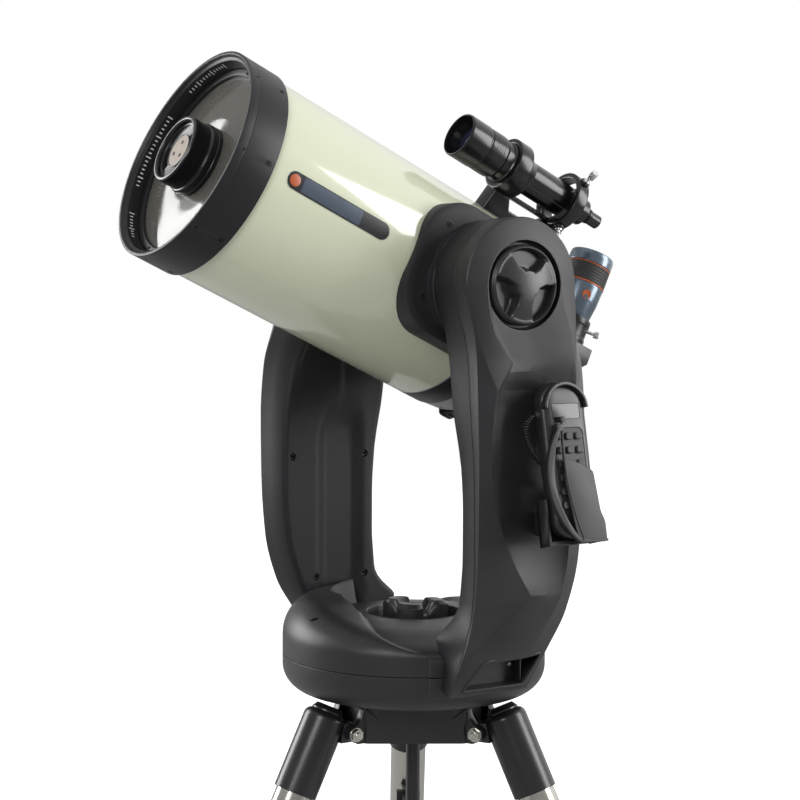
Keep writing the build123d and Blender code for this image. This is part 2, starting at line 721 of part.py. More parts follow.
# Hand control: held against the near arm, leaning out at its lower end.
HAND = Plane(origin=(ARM_OUTER_X + 18, 43, ALT_Z - 218), x_dir=(0, 1, 0), z_dir=(1, 0, 0.2))
HAND_W = 68.0
HAND_L = 194.0
HAND_T = 25.0
KEYS_Y = -14.0
CORD_R = 4.0
CORD_ROUTE = [(254, 6, -160), (251, -8, -164), (247, -2, -190), (244, 16, -212), (243, 38, -230),
              (242, 54, -254)]


def route_plane(here, after):
    """A plane at one point of the cord's route, facing along its run."""
    direction = [b - a for a, b in zip(here, after)]
    return along((here[0], here[1], ALT_Z + here[2]), direction, (1, 0, 0))


def cord_start():
    return route_plane(CORD_ROUTE[0], CORD_ROUTE[1])


def plug_plane():
    before, last = CORD_ROUTE[-2], CORD_ROUTE[-1]
    onward = [2 * b - a for a, b in zip(before, last)]
    return route_plane(last, onward)


def handset_shell():
    shape = RectangleRounded(HAND_W, HAND_L, 22)
    shell = HAND * extrude(shape, HAND_T)
    shell += disc(cord_start(), 5.5, -8, 0)
    shell -= HAND * Pos(0, KEYS_Y, HAND_T - 4) * extrude(RectangleRounded(48, 108, 8), 10)
    return shell


def handset_keypad():
    pad = HAND * Pos(0, KEYS_Y, HAND_T - 3.0) * extrude(RectangleRounded(47, 107, 8), 2)
    for row in range(6):
        for column in range(3):
            place = HAND * Pos((column - 1) * 15, KEYS_Y - 42 + row * 17, HAND_T - 1)
            pad += place * extrude(RectangleRounded(11, 9, 3), 3.5)
    return pad


def handset_holder():
    """A cradle on the arm's panel with a bowed strap round the hand control."""
    edge = HAND_W / 2 + 0.6
    cradle = block(HAND, (-edge - 4, edge + 4), (-104, -44), (-5, -1))
    for sign in (-1, 1):
        x = sorted((sign * edge, sign * (edge + 4)))
        cradle += block(HAND, x, (-104, -44), (-5, 14))
    cradle += block(HAND, (-edge - 4, edge + 4), (-104, -98), (-5, 14))
    cradle += block(HAND, (-2, 10), (-104, -98), (-5, HAND_T + 8))
    foot = block(WORLD, (ARM_OUTER_X - PANEL_DEPTH, 268), (25, 61), (ALT_Z - 312, ALT_Z - 282))
    behind = block(HAND, (-60, 60), (-140, 140), (-5, 60))
    cradle += foot - behind
    strap = make_face(
        ThreePointArc((-14, 58), (-edge - 6, -10), (8, -104))
        + Line((8, -104), (2, -104))
        + ThreePointArc((2, -104), (-edge - 11, -10), (-20, 58))
        + Line((-20, 58), (-14, 58))
    )
    return cradle + HAND * Pos(0, 0, HAND_T + 1) * extrude(strap, 7)


def handset_cord():
    points = [(x, y, ALT_Z + z) for x, y, z in CORD_ROUTE]
    corners = [Vector(*p) for p in points]
    radii = []
    for before, here, after in zip(corners, corners[1:], corners[2:]):
        turn = (here - before).get_angle(after - here)
        run = min((here - before).length, (after - here).length)
        radii.append(0.45 * run / math.tan(math.radians(turn / 2)))
    print("cord radii", [round(r, 1) for r in radii])
    path = FilletPolyline(*points, radius=radii)
    start = Plane(origin=path @ 0, z_dir=path % 0)
    tube = sweep(start * Circle(CORD_R), path)
    print("cord length", round(path.length, 1), "volume ratio", tube.volume / (math.pi * CORD_R**2 * path.length))
    return tube


def handset_plug():
    return block(plug_plane(), (-4, 4), (-6, 6), (0, 22))


def write(name, shape):
    solids = shape.solids()
    export_step(Compound(children=list(solids)) if len(solids) > 1 else solids[0], f"parts/{name}.step")
    print(f"{name:26s} {len(solids)} solid(s)  {sum(s.volume for s in solids) / 1000:9.1f} cm3")


def main():
    os.makedirs("parts", exist_ok=True)

    write("tripod_head", tripod_head())
    write("stand_bolts", stand_bolts())
    write("center_rod", center_rod())
    write("azimuth_base_plate", azimuth_base_plate())
    write("azimuth_ring_gear", azimuth_ring_gear())
    for number, angle in enumerate(LEG_ANGLES, start=1):
        write(f"leg_{number}_castings", leg_castings(angle))
        write(f"leg_{number}_tube", leg_tube(angle))
        write(f"leg_{number}_clamp_knob", leg_clamp_knob(angle))
        write(f"leg_{number}_extension", leg_extension(angle))
    write("leg_brace", leg_brace())
    write("brace_tension_knob", tension_knob())

    screws = fork_screws()
    frame = hand_hold_cut(arm_frame())
    cover = arm_cover(True)
    plain_cover = arm_cover(False)
    holder = handset_holder()
    for screw in screws:
        frame -= screw
    arms = [frame, half_round(frame), cover, half_round(plain_cover)]
    solid_arms = [arm_half((INNER, SEAM)), arm_half((SEAM, OUTER))]
    solid_arms += [half_round(arm) for arm in solid_arms]
    write("right_arm_frame", arms[0])
    write("left_arm_frame", arms[1])
    write("right_arm_cover", arms[2])
    write("left_arm_cover", arms[3])
    write("base_upper_housing", base_upper_housing(solid_arms))
    write("base_lower_housing", base_lower_housing(solid_arms))
    write("control_panel", control_panel())
    write("power_switch", power_switch())
    write("azimuth_lock_knob", azimuth_lock_knob())
    write("fork_screws", group(*screws))
    write("azimuth_worm", azimuth_worm())
    write("altitude_worm", altitude_worm())
    write("drive_motors", drive_motors())
    write("main_circuit_board", main_circuit_board())
    write("altitude_clutch_knob", altitude_clutch_knob())
    write("handset_holder", holder)

    write("front_cell", front_cell())
    write("corrector_plate", corrector_plate())
    write("secondary_housing", secondary_housing())
    write("secondary_mirror", secondary_mirror())
    write("optical_tube", optical_tube())
    write("rear_cell", rear_cell())
    write("baffle_tube", baffle_tube())
    write("altitude_saddles", altitude_saddles())
    write("altitude_wheel", altitude_wheel())
    write("visual_back", visual_back())
    write("primary_mirror", primary_mirror())
    write("focus_knob", focus_knob())
    for number, angle in enumerate(MIRROR_LOCKS, start=1):
        write(f"mirror_lock_knob_{number}", mirror_lock_knob(angle))
    write("star_diagonal", star_diagonal())
    write("diagonal_thumbscrew", diagonal_thumbscrew())
    write("eyepiece", eyepiece())
    write("eyecup", eyecup())
    write("finder_bracket", finder_bracket())
    write("finder_scope", finder_scope())
    write("finder_thumbscrews", finder_thumbscrews())
    write("handset_shell", handset_shell())
    write("handset_keypad", handset_keypad())
    write("handset_cord", handset_cord())
    write("handset_plug", handset_plug())


main()
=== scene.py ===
import math

import bmesh
import bpy
from mathutils import Matrix, Vector
from mathutils.bvhtree import BVHTree


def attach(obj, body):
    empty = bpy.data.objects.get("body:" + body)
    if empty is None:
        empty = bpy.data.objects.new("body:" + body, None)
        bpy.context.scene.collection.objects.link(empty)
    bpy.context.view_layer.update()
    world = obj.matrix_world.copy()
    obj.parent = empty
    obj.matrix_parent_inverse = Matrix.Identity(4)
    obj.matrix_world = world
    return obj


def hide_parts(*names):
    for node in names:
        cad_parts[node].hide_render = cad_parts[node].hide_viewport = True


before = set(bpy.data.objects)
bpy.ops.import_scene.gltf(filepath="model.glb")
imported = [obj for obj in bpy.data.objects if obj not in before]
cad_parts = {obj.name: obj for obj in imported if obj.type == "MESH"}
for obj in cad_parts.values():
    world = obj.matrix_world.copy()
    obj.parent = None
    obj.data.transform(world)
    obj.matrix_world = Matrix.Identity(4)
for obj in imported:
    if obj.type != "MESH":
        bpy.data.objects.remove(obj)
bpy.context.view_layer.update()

# A Schmidt-Cassegrain telescope on a fork mount.  Shapes are written in millimetres in the frame
# of what they belong to, and each frame's matrix turns them into the row frame's metres.
ALT_Z = 1300.0
ELEVATION = math.radians(24.7)
PIVOT_Z = 711.0
LEG_ANGLES = (28.0, 148.0, 268.0)
SPLAY = math.radians(25.5)
TUBE_R = 135.0


# ---------------------------------------------------------------- frames

def frame_matrix(origin, x_axis, y_axis, z_axis):
    """Columns are unit axes; origin and the shapes in it are in millimetres."""
    rows = [[x_axis[i], y_axis[i], z_axis[i], origin[i]] for i in range(3)]
    return Matrix.Scale(0.001, 4) @ Matrix(rows + [[0, 0, 0, 1]])


def turned_frame(place, origin, z_axis, x_hint=(1, 0, 0)):
    """A frame inside another, given by its origin, z axis and a hint for its x axis."""
    z = Vector(z_axis).normalized()
    x = Vector(x_hint)
    x = (x - z * x.dot(z)).normalized()
    y = z.cross(x)
    rows = [[x[i], y[i], z[i], origin[i]] for i in range(3)]
    return place @ Matrix(rows + [[0, 0, 0, 1]])


COS_E, SIN_E = math.cos(ELEVATION), math.sin(ELEVATION)
GROUND = frame_matrix((0, 0, 0), (1, 0, 0), (0, 1, 0), (0, 0, 1))
FORK = frame_matrix((0, 0, ALT_Z), (1, 0, 0), (0, 1, 0), (0, 0, 1))
FAR_FORK = FORK @ Matrix.Rotation(math.pi, 4, "Z")
TUBE = frame_matrix((0, 0, ALT_Z), (1, 0, 0), (0, SIN_E, COS_E), (0, -COS_E, SIN_E))
ARM_AXIS = turned_frame(FORK, (0, 0, 0), (1, 0, 0), (0, 1, 0))
EYE = turned_frame(TUBE, (0, 0, -258), (0, 1, 0))
FINDER = turned_frame(TUBE, (75, 184, 0), (0, 0, 1))


def polar(r, degrees):
    return r * math.cos(math.radians(degrees)), r * math.sin(math.radians(degrees))


# ---------------------------------------------------------------- materials

def node_material(name):
    material = bpy.data.materials.new(name)
    material.use_nodes = True
    tree = material.node_tree
    shader = tree.nodes["Principled BSDF"]
    return material, tree, shader


def texture(tree, kind, scale, **inputs):
    """A procedural texture in object space, with its scale in repeats per metre."""
    coords = tree.nodes.new("ShaderNodeTexCoord")
    node = tree.nodes.new(kind)
    node.inputs["Scale"].default_value = scale
    for key, value in inputs.items():
        node.inputs[key].default_value = value
    tree.links.new(coords.outputs["Object"], node.inputs["Vector"])
    return node


def ramp(tree, source, stops):
    node = tree.nodes.new("ShaderNodeValToRGB")
    elements = node.color_ramp.elements
    while len(elements) < len(stops):
        elements.new(0.5)
    for element, (position, colour) in zip(elements, stops):
        element.position = position
        element.color = (*colour, 1)
    tree.links.new(source, node.inputs["Fac"])
    return node.outputs["Color"]


def spread(tree, source, low, high):
    node = tree.nodes.new("ShaderNodeMapRange")
    node.inputs["To Min"].default_value = low
    node.inputs["To Max"].default_value = high
    tree.links.new(source, node.inputs["Value"])
    return node.outputs["Result"]


def bump(tree, source, strength, distance, below=None):
    node = tree.nodes.new("ShaderNodeBump")
    node.inputs["Strength"].default_value = strength
    node.inputs["Distance"].default_value = distance
    tree.links.new(source, node.inputs["Height"])
    if below:
        tree.links.new(below, node.inputs["Normal"])
    return node.outputs["Normal"]


def shade(colour, factor):
    return tuple(min(1.0, c * factor) for c in colour)


def surface(name, colour, rough, metal=0.0, grain=600, grain_depth=0.1, mottle=0.08, cloud=9, coat=0.0,
            coat_rough=0.05, specular=0.5, edge_highlight=0.0, rough_spread=0.06):
    """Paint or plastic: a cloudy colour, a fine grain in the relief, uneven gloss and a painted edge
    highlight.
    """
    material, tree, shader = node_material(name)
    clouds = texture(tree, "ShaderNodeTexNoise", cloud, Detail=5.0, Roughness=0.6)
    base = ramp(tree, clouds.outputs["Fac"], [(0.3, shade(colour, 1 - mottle)),
                                              (0.7, shade(colour, 1 + mottle))])
    # Painted highlight: sharp convex edges, found by pointiness, get a lighter colour that stands in for the
    # light caught along them.
    if edge_highlight:
        geometry = tree.nodes.new("ShaderNodeNewGeometry")
        highlight_mask = ramp(tree, geometry.outputs["Pointiness"], [(0.5, (0, 0, 0)), (0.62, (1, 1, 1))])
        mix = tree.nodes.new("ShaderNodeMix")
        mix.data_type = "RGBA"
        mix.inputs["B"].default_value = (*shade(colour, 1 + edge_highlight), 1)
        tree.links.new(highlight_mask, mix.inputs["Factor"])
        tree.links.new(base, mix.inputs["A"])
        base = mix.outputs["Result"]
    tree.links.new(base, shader.inputs["Base Color"])
    fine = texture(tree, "ShaderNodeTexNoise", grain, Detail=2.0, Roughness=0.5)
    gloss = texture(tree, "ShaderNodeTexNoise", cloud * 4, Detail=4.0, Roughness=0.6)
    level = spread(tree, gloss.outputs["Fac"], rough - rough_spread, rough + rough_spread)
    tree.links.new(level, shader.inputs["Roughness"])
    tree.links.new(bump(tree, fine.outputs["Fac"], grain_depth, 0.001), shader.inputs["Normal"])
    shader.inputs["Metallic"].default_value = metal
    shader.inputs["Coat Weight"].default_value = coat
    shader.inputs["Coat Roughness"].default_value = coat_rough
    shader.inputs["Specular IOR Level"].default_value = specular
    return material


def brushed(name, colour, rough, along=(1, 1, 30)):
    """Drawn or turned metal: streaks that run across the stretched axis."""
    material, tree, shader = node_material(name)
    coords = tree.nodes.new("ShaderNodeTexCoord")
    mapping = tree.nodes.new("ShaderNodeMapping")
    mapping.inputs["Scale"].default_value = along
    streak = tree.nodes.new("ShaderNodeTexNoise")
    streak.inputs["Scale"].default_value = 60
    streak.inputs["Detail"].default_value = 6
    tree.links.new(coords.outputs["Object"], mapping.inputs["Vector"])
    tree.links.new(mapping.outputs["Vector"], streak.inputs["Vector"])
    tint = ramp(tree, streak.outputs["Fac"], [(0.3, shade(colour, 0.88)), (0.7, shade(colour, 1.08))])
    tree.links.new(tint, shader.inputs["Base Color"])
    tree.links.new(spread(tree, streak.outputs["Fac"], rough * 0.7, rough * 1.4), shader.inputs["Roughness"])
    tree.links.new(bump(tree, streak.outputs["Fac"], 0.04, 0.001), shader.inputs["Normal"])
    shader.inputs["Metallic"].default_value = 1.0
    return material


def coated_glass(name, colour, alpha):
    """A thin coated plate: mostly see-through, with a faint tint and a film of dust."""
    material, tree, shader = node_material(name)
    dust = texture(tree, "ShaderNodeTexNoise", 40, Detail=6.0, Roughness=0.7)
    tree.links.new(ramp(tree, dust.outputs["Fac"], [(0.35, shade(colour, 0.9)), (0.75, shade(colour, 1.1))]),
                   shader.inputs["Base Color"])
    tree.links.new(spread(tree, dust.outputs["Fac"], 0.03, 0.1), shader.inputs["Roughness"])
    shader.inputs["Alpha"].default_value = alpha
    return material


CHARCOAL = (0.0165, 0.0155, 0.0175)
ENAMEL = (0.60, 0.63, 0.47)
# Where edge_highlight is set, the material paints a lighter highlight along its sharp edges.
MATERIALS = {
    "enamel": surface("tube_enamel", ENAMEL, 0.16, grain=260, grain_depth=0.012, mottle=0.015, cloud=5,
                      coat=0.7, coat_rough=0.04, rough_spread=0.03),
    "arm": surface("arm_paint", CHARCOAL, 0.42, specular=0.22, grain=1500, grain_depth=0.28, mottle=0.06,
                   edge_highlight=0.5),
    "cover": surface("arm_cover", CHARCOAL, 0.40, specular=0.4, grain=1700, grain_depth=0.25, mottle=0.06,
                     edge_highlight=0.45),
    # The panel colour is the charcoal darkened to 0.62. It is painted shade for the sunk panel below the
    # knob. The holder parts, bezel, catch, control panel and the cut walls of the knob well and hand hold
    # also take this colour.
    "panel": surface("arm_panel", shade(CHARCOAL, 0.62), 0.45, grain=1900, grain_depth=0.2, mottle=0.05),
    "base": surface("base_housing", shade(CHARCOAL, 0.9), 0.37, grain=1600, grain_depth=0.22, mottle=0.06,
                    edge_highlight=0.4),
    "cell": surface("cell_paint", (0.011, 0.011, 0.0125), 0.38, specular=0.3, grain=1200, grain_depth=0.12,
                    mottle=0.1,
                    edge_highlight=0.6),
    "flat_black": surface("flat_black", (0.006, 0.006, 0.006), 0.7, grain=900, grain_depth=0.2),
    "rear": surface("rear_paint", (0.24, 0.245, 0.245), 0.36, grain=1000, grain_depth=0.15, mottle=0.05),
    "stand": surface("stand_casting", (0.0115, 0.011, 0.0125), 0.3, specular=0.35, grain=700,
                     grain_depth=0.16, mottle=0.1,
                     coat=0.25, coat_rough=0.2, edge_highlight=0.6),
    "knob": surface("knob_plastic", (0.016, 0.0155, 0.017), 0.33, grain=900, grain_depth=0.08, mottle=0.08,
                    edge_highlight=0.5),
    "anodised": surface("black_anodised", (0.012, 0.012, 0.013), 0.28, metal=0.3, grain=1500,
                        grain_depth=0.05,
                        edge_highlight=0.6),
    "finder": surface("finder_paint", (0.006, 0.006, 0.007), 0.25, specular=0.3, grain=1100,
                      grain_depth=0.07, mottle=0.1,
                      coat=0.3, coat_rough=0.15, edge_highlight=0.5),
    "eyepiece": surface("eyepiece_paint", (0.115, 0.15, 0.19), 0.25, metal=0.6, grain=2500, grain_depth=0.06,
                        mottle=0.05, coat=0.4, coat_rough=0.1),
    "orange": surface("orange_band", (0.42, 0.085, 0.02), 0.35, grain=900, grain_depth=0.05),
    "rubber": surface("eyecup_rubber", (0.014, 0.014, 0.014), 0.55, grain=1300, grain_depth=0.3, mottle=0.12),
    "handset": surface("handset_plastic", (0.014, 0.013, 0.014), 0.34, grain=1400, grain_depth=0.1,
                       mottle=0.08,
                       edge_highlight=0.4),
    "keys": surface("key_rubber", (0.024, 0.024, 0.025), 0.5, grain=1100, grain_depth=0.15),
    "cord": surface("cord_jacket", (0.010, 0.010, 0.010), 0.28, grain=500, grain_depth=0.06),
    "white": surface("marking_white", (0.75, 0.75, 0.73), 0.5, grain=800, grain_depth=0.05, mottle=0.04),
    "sticker": surface("sticker_tan", (0.30, 0.25, 0.20), 0.45, grain=800, grain_depth=0.05, mottle=0.15,
                       cloud=60),
    "badge_edge": surface("badge_edge", (0.008, 0.008, 0.010), 0.22, grain=600, grain_depth=0.02),
    "badge_face": surface("badge_face", (0.045, 0.065, 0.095), 0.22, metal=0.3, grain=600, grain_depth=0.02,
                          mottle=0.04, coat=0.5),
    "chrome": brushed("steel_bolt", (0.78, 0.78, 0.79), 0.12),
    "steel": brushed("steel_tube", (0.56, 0.54, 0.49), 0.16),
    "gear": brushed("gear_metal", (0.72, 0.72, 0.73), 0.25),
    "brass": brushed("worm_brass", (0.70, 0.50, 0.22), 0.25),
    "mirror": brushed("mirror_coat", (0.88, 0.88, 0.9), 0.02, (1, 1, 1)),
    "motor": surface("motor_can", (0.10, 0.10, 0.11), 0.4, metal=0.5, grain=500, grain_depth=0.05),
    "board": surface("circuit_board", (0.01, 0.10, 0.03), 0.35, grain=300, grain_depth=0.1, mottle=0.3,
                     cloud=120),
    "glass": coated_glass("corrector_glass", (0.155, 0.148, 0.132), 0.62),
    "lens": surface("lens_coating", (0.012, 0.015, 0.035), 0.05, grain=50, grain_depth=0.0, coat=1.0),
}


# ---------------------------------------------------------------- mesh helpers

class Shape:
    """A mesh in the making: points in millimetres of one frame, with a material for each face."""

    def __init__(self, place):
        self.place = place
        self.points = []
        self.faces = []
        self.slots = []
        self.names = []

    def material(self, name):
        if name not in self.names:
            self.names.append(name)
        return self.names.index(name)

    def add(self, points, faces, look, local=None):
        first = len(self.points)
        slot = self.material(look)
        for point in points:
            point = Vector(point)
            self.points.append(local @ point if local else point)
        for face in faces:
            self.faces.append([first + i for i in face])
            self.slots.append(slot)

    def lathe(self, profile, look, local=None, segments=96):
        """Turns a closed loop of (radius, height) pairs about z.  A run along the axis makes no faces."""
        points, faces = [], []
        count = len(profile)
        for i in range(segments):
            angle = 2 * math.pi * i / segments
            c, s = math.cos(angle), math.sin(angle)
            points += [(r * c, r * s, h) for r, h in profile]
        for i in range(segments):
            j = (i + 1) % segments
            for k in range(count):
                m = (k + 1) % count
                if profile[k][0] < 1e-6 and profile[m][0] < 1e-6:
                    continue
                faces.append([i * count + k, j * count + k, j * count + m, i * count + m])
        self.add(points, faces, look, local)

    def tube(self, inner, outer, low, high, corner, look, local=None, segments=96):
        """A ring, or a cylinder where inner is 0, with rounded edges between two heights."""
        profile = [(inner, low), (outer, low), (outer, high), (inner, high)]
        self.lathe(rounded(profile, corner), look, local, segments)

    def rod(self, r, low, high, look, local=None, segments=96):
        """A plain cylinder between two heights."""
        self.lathe([(0, low), (r, low), (r, high), (0, high)], look, local, segments)

    def cap(self, row, look, local=None):
        """One face round a row of points."""
        self.add(row, [list(range(len(row)))], look, local)

    def fan(self, centre, row, look, local=None):
        """Triangles from one point to a ring of points."""
        count = len(row)
        self.add([centre, *row], [[0, 1 + i, 1 + (i + 1) % count] for i in range(count)], look, local)

    def loft(self, rows, look, local=None):
        """A skin over rings of points, with a face at each end."""
        self.grid(rows, look, local, wrap=True)
        self.cap(rows[0], look, local)
        self.cap(rows[-1], look, local)

    def between(self, near, far, look, local=None):
        """A solid between two outlines that match point for point."""
        count = len(near)
        faces = [list(range(count)), [count + i for i in range(count)][::-1]]
        faces += [[i, count + i, count + (i + 1) % count, (i + 1) % count] for i in range(count)]
        self.add([*near, *far], faces, look, local)

    def prism(self, outline, low, high, look, local=None):
        """A polygon in x-y, drawn anticlockwise, between two heights."""
        n = len(outline)
        points = [(x, y, low) for x, y in outline] + [(x, y, high) for x, y in outline]
        faces = [list(range(n))[::-1], [n + i for i in range(n)]]
        faces += [[i, (i + 1) % n, n + (i + 1) % n, n + i] for i in range(n)]
        self.add(points, faces, look, local)

    def grid(self, rows, look, local=None, wrap=False):
        """Faces between rows of points; wrap joins each row's ends."""
        width = len(rows[0])
        points = [p for row in rows for p in row]
        faces = []
        for r in range(len(rows) - 1):
            for k in range(width if wrap else width - 1):
                m = (k + 1) % width
                faces.append([r * width + k, r * width + m, (r + 1) * width + m, (r + 1) * width + k])
        self.add(points, faces, look, local)

    def build(self, name, body, slot, bevel=0.0, bevel_angle=28, segments=3, smooth=35, replaces=(),
              ride=True):
        mesh = bpy.data.meshes.new(name)
        world = [self.place @ p for p in self.points]
        mesh.from_pydata(world, [], self.faces)
        for look in self.names:
            mesh.materials.append(MATERIALS[look])
        mesh.polygons.foreach_set("material_index", self.slots)
        work = bmesh.new()
        work.from_mesh(mesh)
        bmesh.ops.remove_doubles(work, verts=work.verts, dist=2e-6)
        bmesh.ops.dissolve_degenerate(work, edges=work.edges, dist=1e-6)
        bmesh.ops.recalc_face_normals(work, faces=work.faces)
        work.to_mesh(mesh)
        work.free()
        piece = bpy.data.objects.new(name, mesh)
        bpy.context.scene.collection.objects.link(piece)
        if bevel:
            modifier = piece.modifiers.new("edges", "BEVEL")
            modifier.width = bevel * 0.001
            modifier.segments = segments
            modifier.limit_method = "ANGLE"
            modifier.angle_limit = math.radians(bevel_angle)
            modifier.use_clamp_overlap = True
        settle(piece, smooth)
        if ride:
            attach(piece, body)
        if replaces:
            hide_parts(*replaces)
        return piece


def settle(piece, smooth):
    """Makes the modifiers part of the mesh and shades it smooth up to an angle."""
    bpy.context.view_layer.update()
    depsgraph = bpy.context.evaluated_depsgraph_get()
    mesh = bpy.data.meshes.new_from_object(piece.evaluated_get(depsgraph), depsgraph=depsgraph)
    old = piece.data
    piece.modifiers.clear()
    piece.data = mesh
    bpy.data.meshes.remove(old)
    mesh.polygons.foreach_set("use_smooth", [True] * len(mesh.polygons))
    mesh.set_sharp_from_angle(angle=math.radians(smooth))


def carve(piece, cutters, smooth=35):
    """Cuts shapes out of a piece and drops the shapes."""
    for cutter in cutters:
        tool = cutter.build("cutter", None, None, ride=False)
        modifier = piece.modifiers.new("cut", "BOOLEAN")
        modifier.operation = "DIFFERENCE"
        modifier.solver = "EXACT"
        modifier.object = tool
        modifier.material_mode = "TRANSFER"
        settle(piece, smooth)
        bpy.data.objects.remove(tool)


def rounded(profile, radius, steps=3):
    """A loop of (r, h) pairs with its corners turned into small arcs, apart from those on the axis."""
    result = []
    count = len(profile)
    for i, here in enumerate(profile):
        before, after = Vector(profile[i - 1]), Vector(profile[(i + 1) % count])
        corner = Vector(here)
        a, b = before - corner, after - corner
        if here[0] < 1e-6 or a.length < 1e-6 or b.length < 1e-6:
            result.append(here)
            continue
        reach = min(radius, 0.45 * a.length, 0.45 * b.length)
        start, end = corner + a.normalized() * reach, corner + b.normalized() * reach
        for k in range(steps + 1):
            t = k / steps
            point = start * (1 - t) ** 2 + corner * 2 * t * (1 - t) + end * t ** 2
            result.append((point.x, point.y))
    return result


def ring(count, radius, height):
    """Points round z.  The radius and the height are numbers or functions of the angle in degrees."""
    row = []
    for i in range(count):
        angle = 360 * i / count
        r = radius(angle) if callable(radius) else radius
        row.append((*polar(r, angle), height(angle) if callable(height) else height))
    return row


def rounded_box(length, width, corner, steps=8):
    """A rounded rectangle drawn anticlockwise about its centre."""
    outline = []
    for quarter, (sx, sy) in enumerate(((1, 1), (-1, 1), (-1, -1), (1, -1))):
        cx, cy = sx * (length / 2 - corner), sy * (width / 2 - corner)
        for k in range(steps + 1):
            angle = math.radians(90 * quarter + 90 * k / steps)
            outline.append((cx + corner * math.cos(angle), cy + corner * math.sin(angle)))
    return outline


def curve_through(pairs, value):
    """Smooth interpolation through (key, value) pairs, in any order, with no overshoot."""
    pairs = sorted(pairs)
    keys = [p[0] for p in pairs]
    values = [p[1] for p in pairs]
    if value <= keys[0]:
        return values[0]
    if value >= keys[-1]:
        return values[-1]
    slopes = [(values[i + 1] - values[i]) / (keys[i + 1] - keys[i]) for i in range(len(keys) - 1)]
    tangents = [slopes[0]]
    for a, b in zip(slopes, slopes[1:]):
        tangents.append(0.0 if a * b <= 0 else 2 * a * b / (a + b))
    tangents.append(slopes[-1])
    i = max(k for k in range(len(keys) - 1) if keys[k] <= value)
    h = keys[i + 1] - keys[i]
    t = (value - keys[i]) / h
    return ((2 * t**3 - 3 * t**2 + 1) * values[i] + (t**3 - 2 * t**2 + t) * h * tangents[i]
            + (3 * t**2 - 2 * t**3) * values[i + 1] + (t**3 - t**2) * h * tangents[i + 1])


def step(value, low, high):
    t = min(1.0, max(0.0, (value - low) / (high - low)))
    return t * t * (3 - 2 * t)


def paint(node, look):
    """Gives a CAD node its material."""
    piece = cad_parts[node]
    piece.data.materials.clear()
    piece.data.materials.append(MATERIALS[look])


# ---------------------------------------------------------------- camera, lights and stage

# The camera's place in metres, its heading, tilt and roll, and its lens.
CAMERA_PLACE = (1.984, -1.342, 1.287)
CAMERA_ANGLES = (math.radians(-33.59), math.radians(-4.64), math.radians(0.35))
CAMERA_LENS = 80.3
CAMERA_SHIFT = 0.05


def camera():
    yaw, pitch, roll = CAMERA_ANGLES
    forward = Vector((-math.cos(pitch) * math.cos(yaw), -math.cos(pitch) * math.sin(yaw), math.sin(pitch)))
    right = forward.cross(Vector((0, 0, 1))).normalized()
    up = right.cross(forward)
    right, up = (right * math.cos(roll) + up * math.sin(roll), up * math.cos(roll) - right * math.sin(roll))
    data = bpy.data.cameras.new("camera")
    data.lens = CAMERA_LENS
    data.sensor_width = 36
    data.shift_y = CAMERA_SHIFT
    data.clip_end = 60
    view = bpy.data.objects.new("camera", data)
    rows = [[right[i], up[i], -forward[i], CAMERA_PLACE[i]] for i in range(3)]
    view.matrix_world = Matrix(rows + [[0, 0, 0, 1]])
    bpy.context.scene.collection.objects.link(view)
    bpy.context.scene.camera = view


def softbox(name, position, target, size, power, colour=(1, 1, 1)):
    data = bpy.data.lights.new(name, "AREA")
    data.shape = "RECTANGLE"
    data.size, data.size_y = size
    data.energy = power
    data.color = colour
    light = bpy.data.objects.new(name, data)
    light.location = position
    light.rotation_euler = (Vector(target) - Vector(position)).to_track_quat("-Z", "Y").to_euler()
    bpy.context.scene.collection.objects.link(light)


def stage():
    scene = bpy.context.scene
    scene.view_settings.view_transform = "Standard"
    world = bpy.data.worlds.new("studio")
    scene.world = world
    world.use_nodes = True
    tree = world.node_tree
    background = tree.nodes["Background"]
    coords = tree.nodes.new("ShaderNodeTexCoord")
    split = tree.nodes.new("ShaderNodeSeparateXYZ")
    tree.links.new(coords.outputs["Generated"], split.inputs["Vector"])
    height = ramp(tree, spread(tree, split.outputs["Z"], 0.0, 1.0), [(0.0, (0.22, 0.22, 0.22)),
                                                                     (1.0, (0.4, 0.4, 0.4))])
    depth = ramp(tree, spread(tree, split.outputs["Y"], -0.3, 0.9), [(0.0, (0.14, 0.14, 0.14)),
                                                                     (1.0, (1, 1, 1))])
    sky = tree.nodes.new("ShaderNodeMix")
    sky.data_type = "RGBA"
    sky.blend_type = "ADD"
    sky.inputs["Factor"].default_value = 1.0
    tree.links.new(height, sky.inputs["A"])
    tree.links.new(depth, sky.inputs["B"])
    sky = sky.outputs["Result"]
    path = tree.nodes.new("ShaderNodeLightPath")
    mix = tree.nodes.new("ShaderNodeMix")
    mix.data_type = "RGBA"
    mix.inputs["B"].default_value = (1, 1, 1, 1)
    tree.links.new(path.outputs["Is Camera Ray"], mix.inputs["Factor"])
    tree.links.new(sky, mix.inputs["A"])
    tree.links.new(mix.outputs["Result"], background.inputs["Color"])
    background.inputs["Strength"].default_value = 1.0
    floor_shape = Shape(GROUND)
    floor_shape.add([(-9000, -9000, -0.5), (9000, -9000, -0.5), (9000, 9000, -0.5), (-9000, 9000, -0.5)],
                    [[0, 1, 2, 3]], "floor")
    floor = floor_shape.build("floor", None, None, ride=False)
    softbox("overhead", (0.2, -0.6, 3.6), (0, 0, 1.2), (2.6, 2.6), 8)
    softbox("left", (-3.1, -2.0, 1.9), (0, 0, 1.2), (1.6, 2.2), 96)
    softbox("right_rear", (2.2, 2.4, 1.9), (0, 0, 1.1), (1.4, 2.2), 80)
    softbox("front", (1.9, -2.8, 2.5), (0.1, 0, 1.0), (1.4, 1.4), 50)


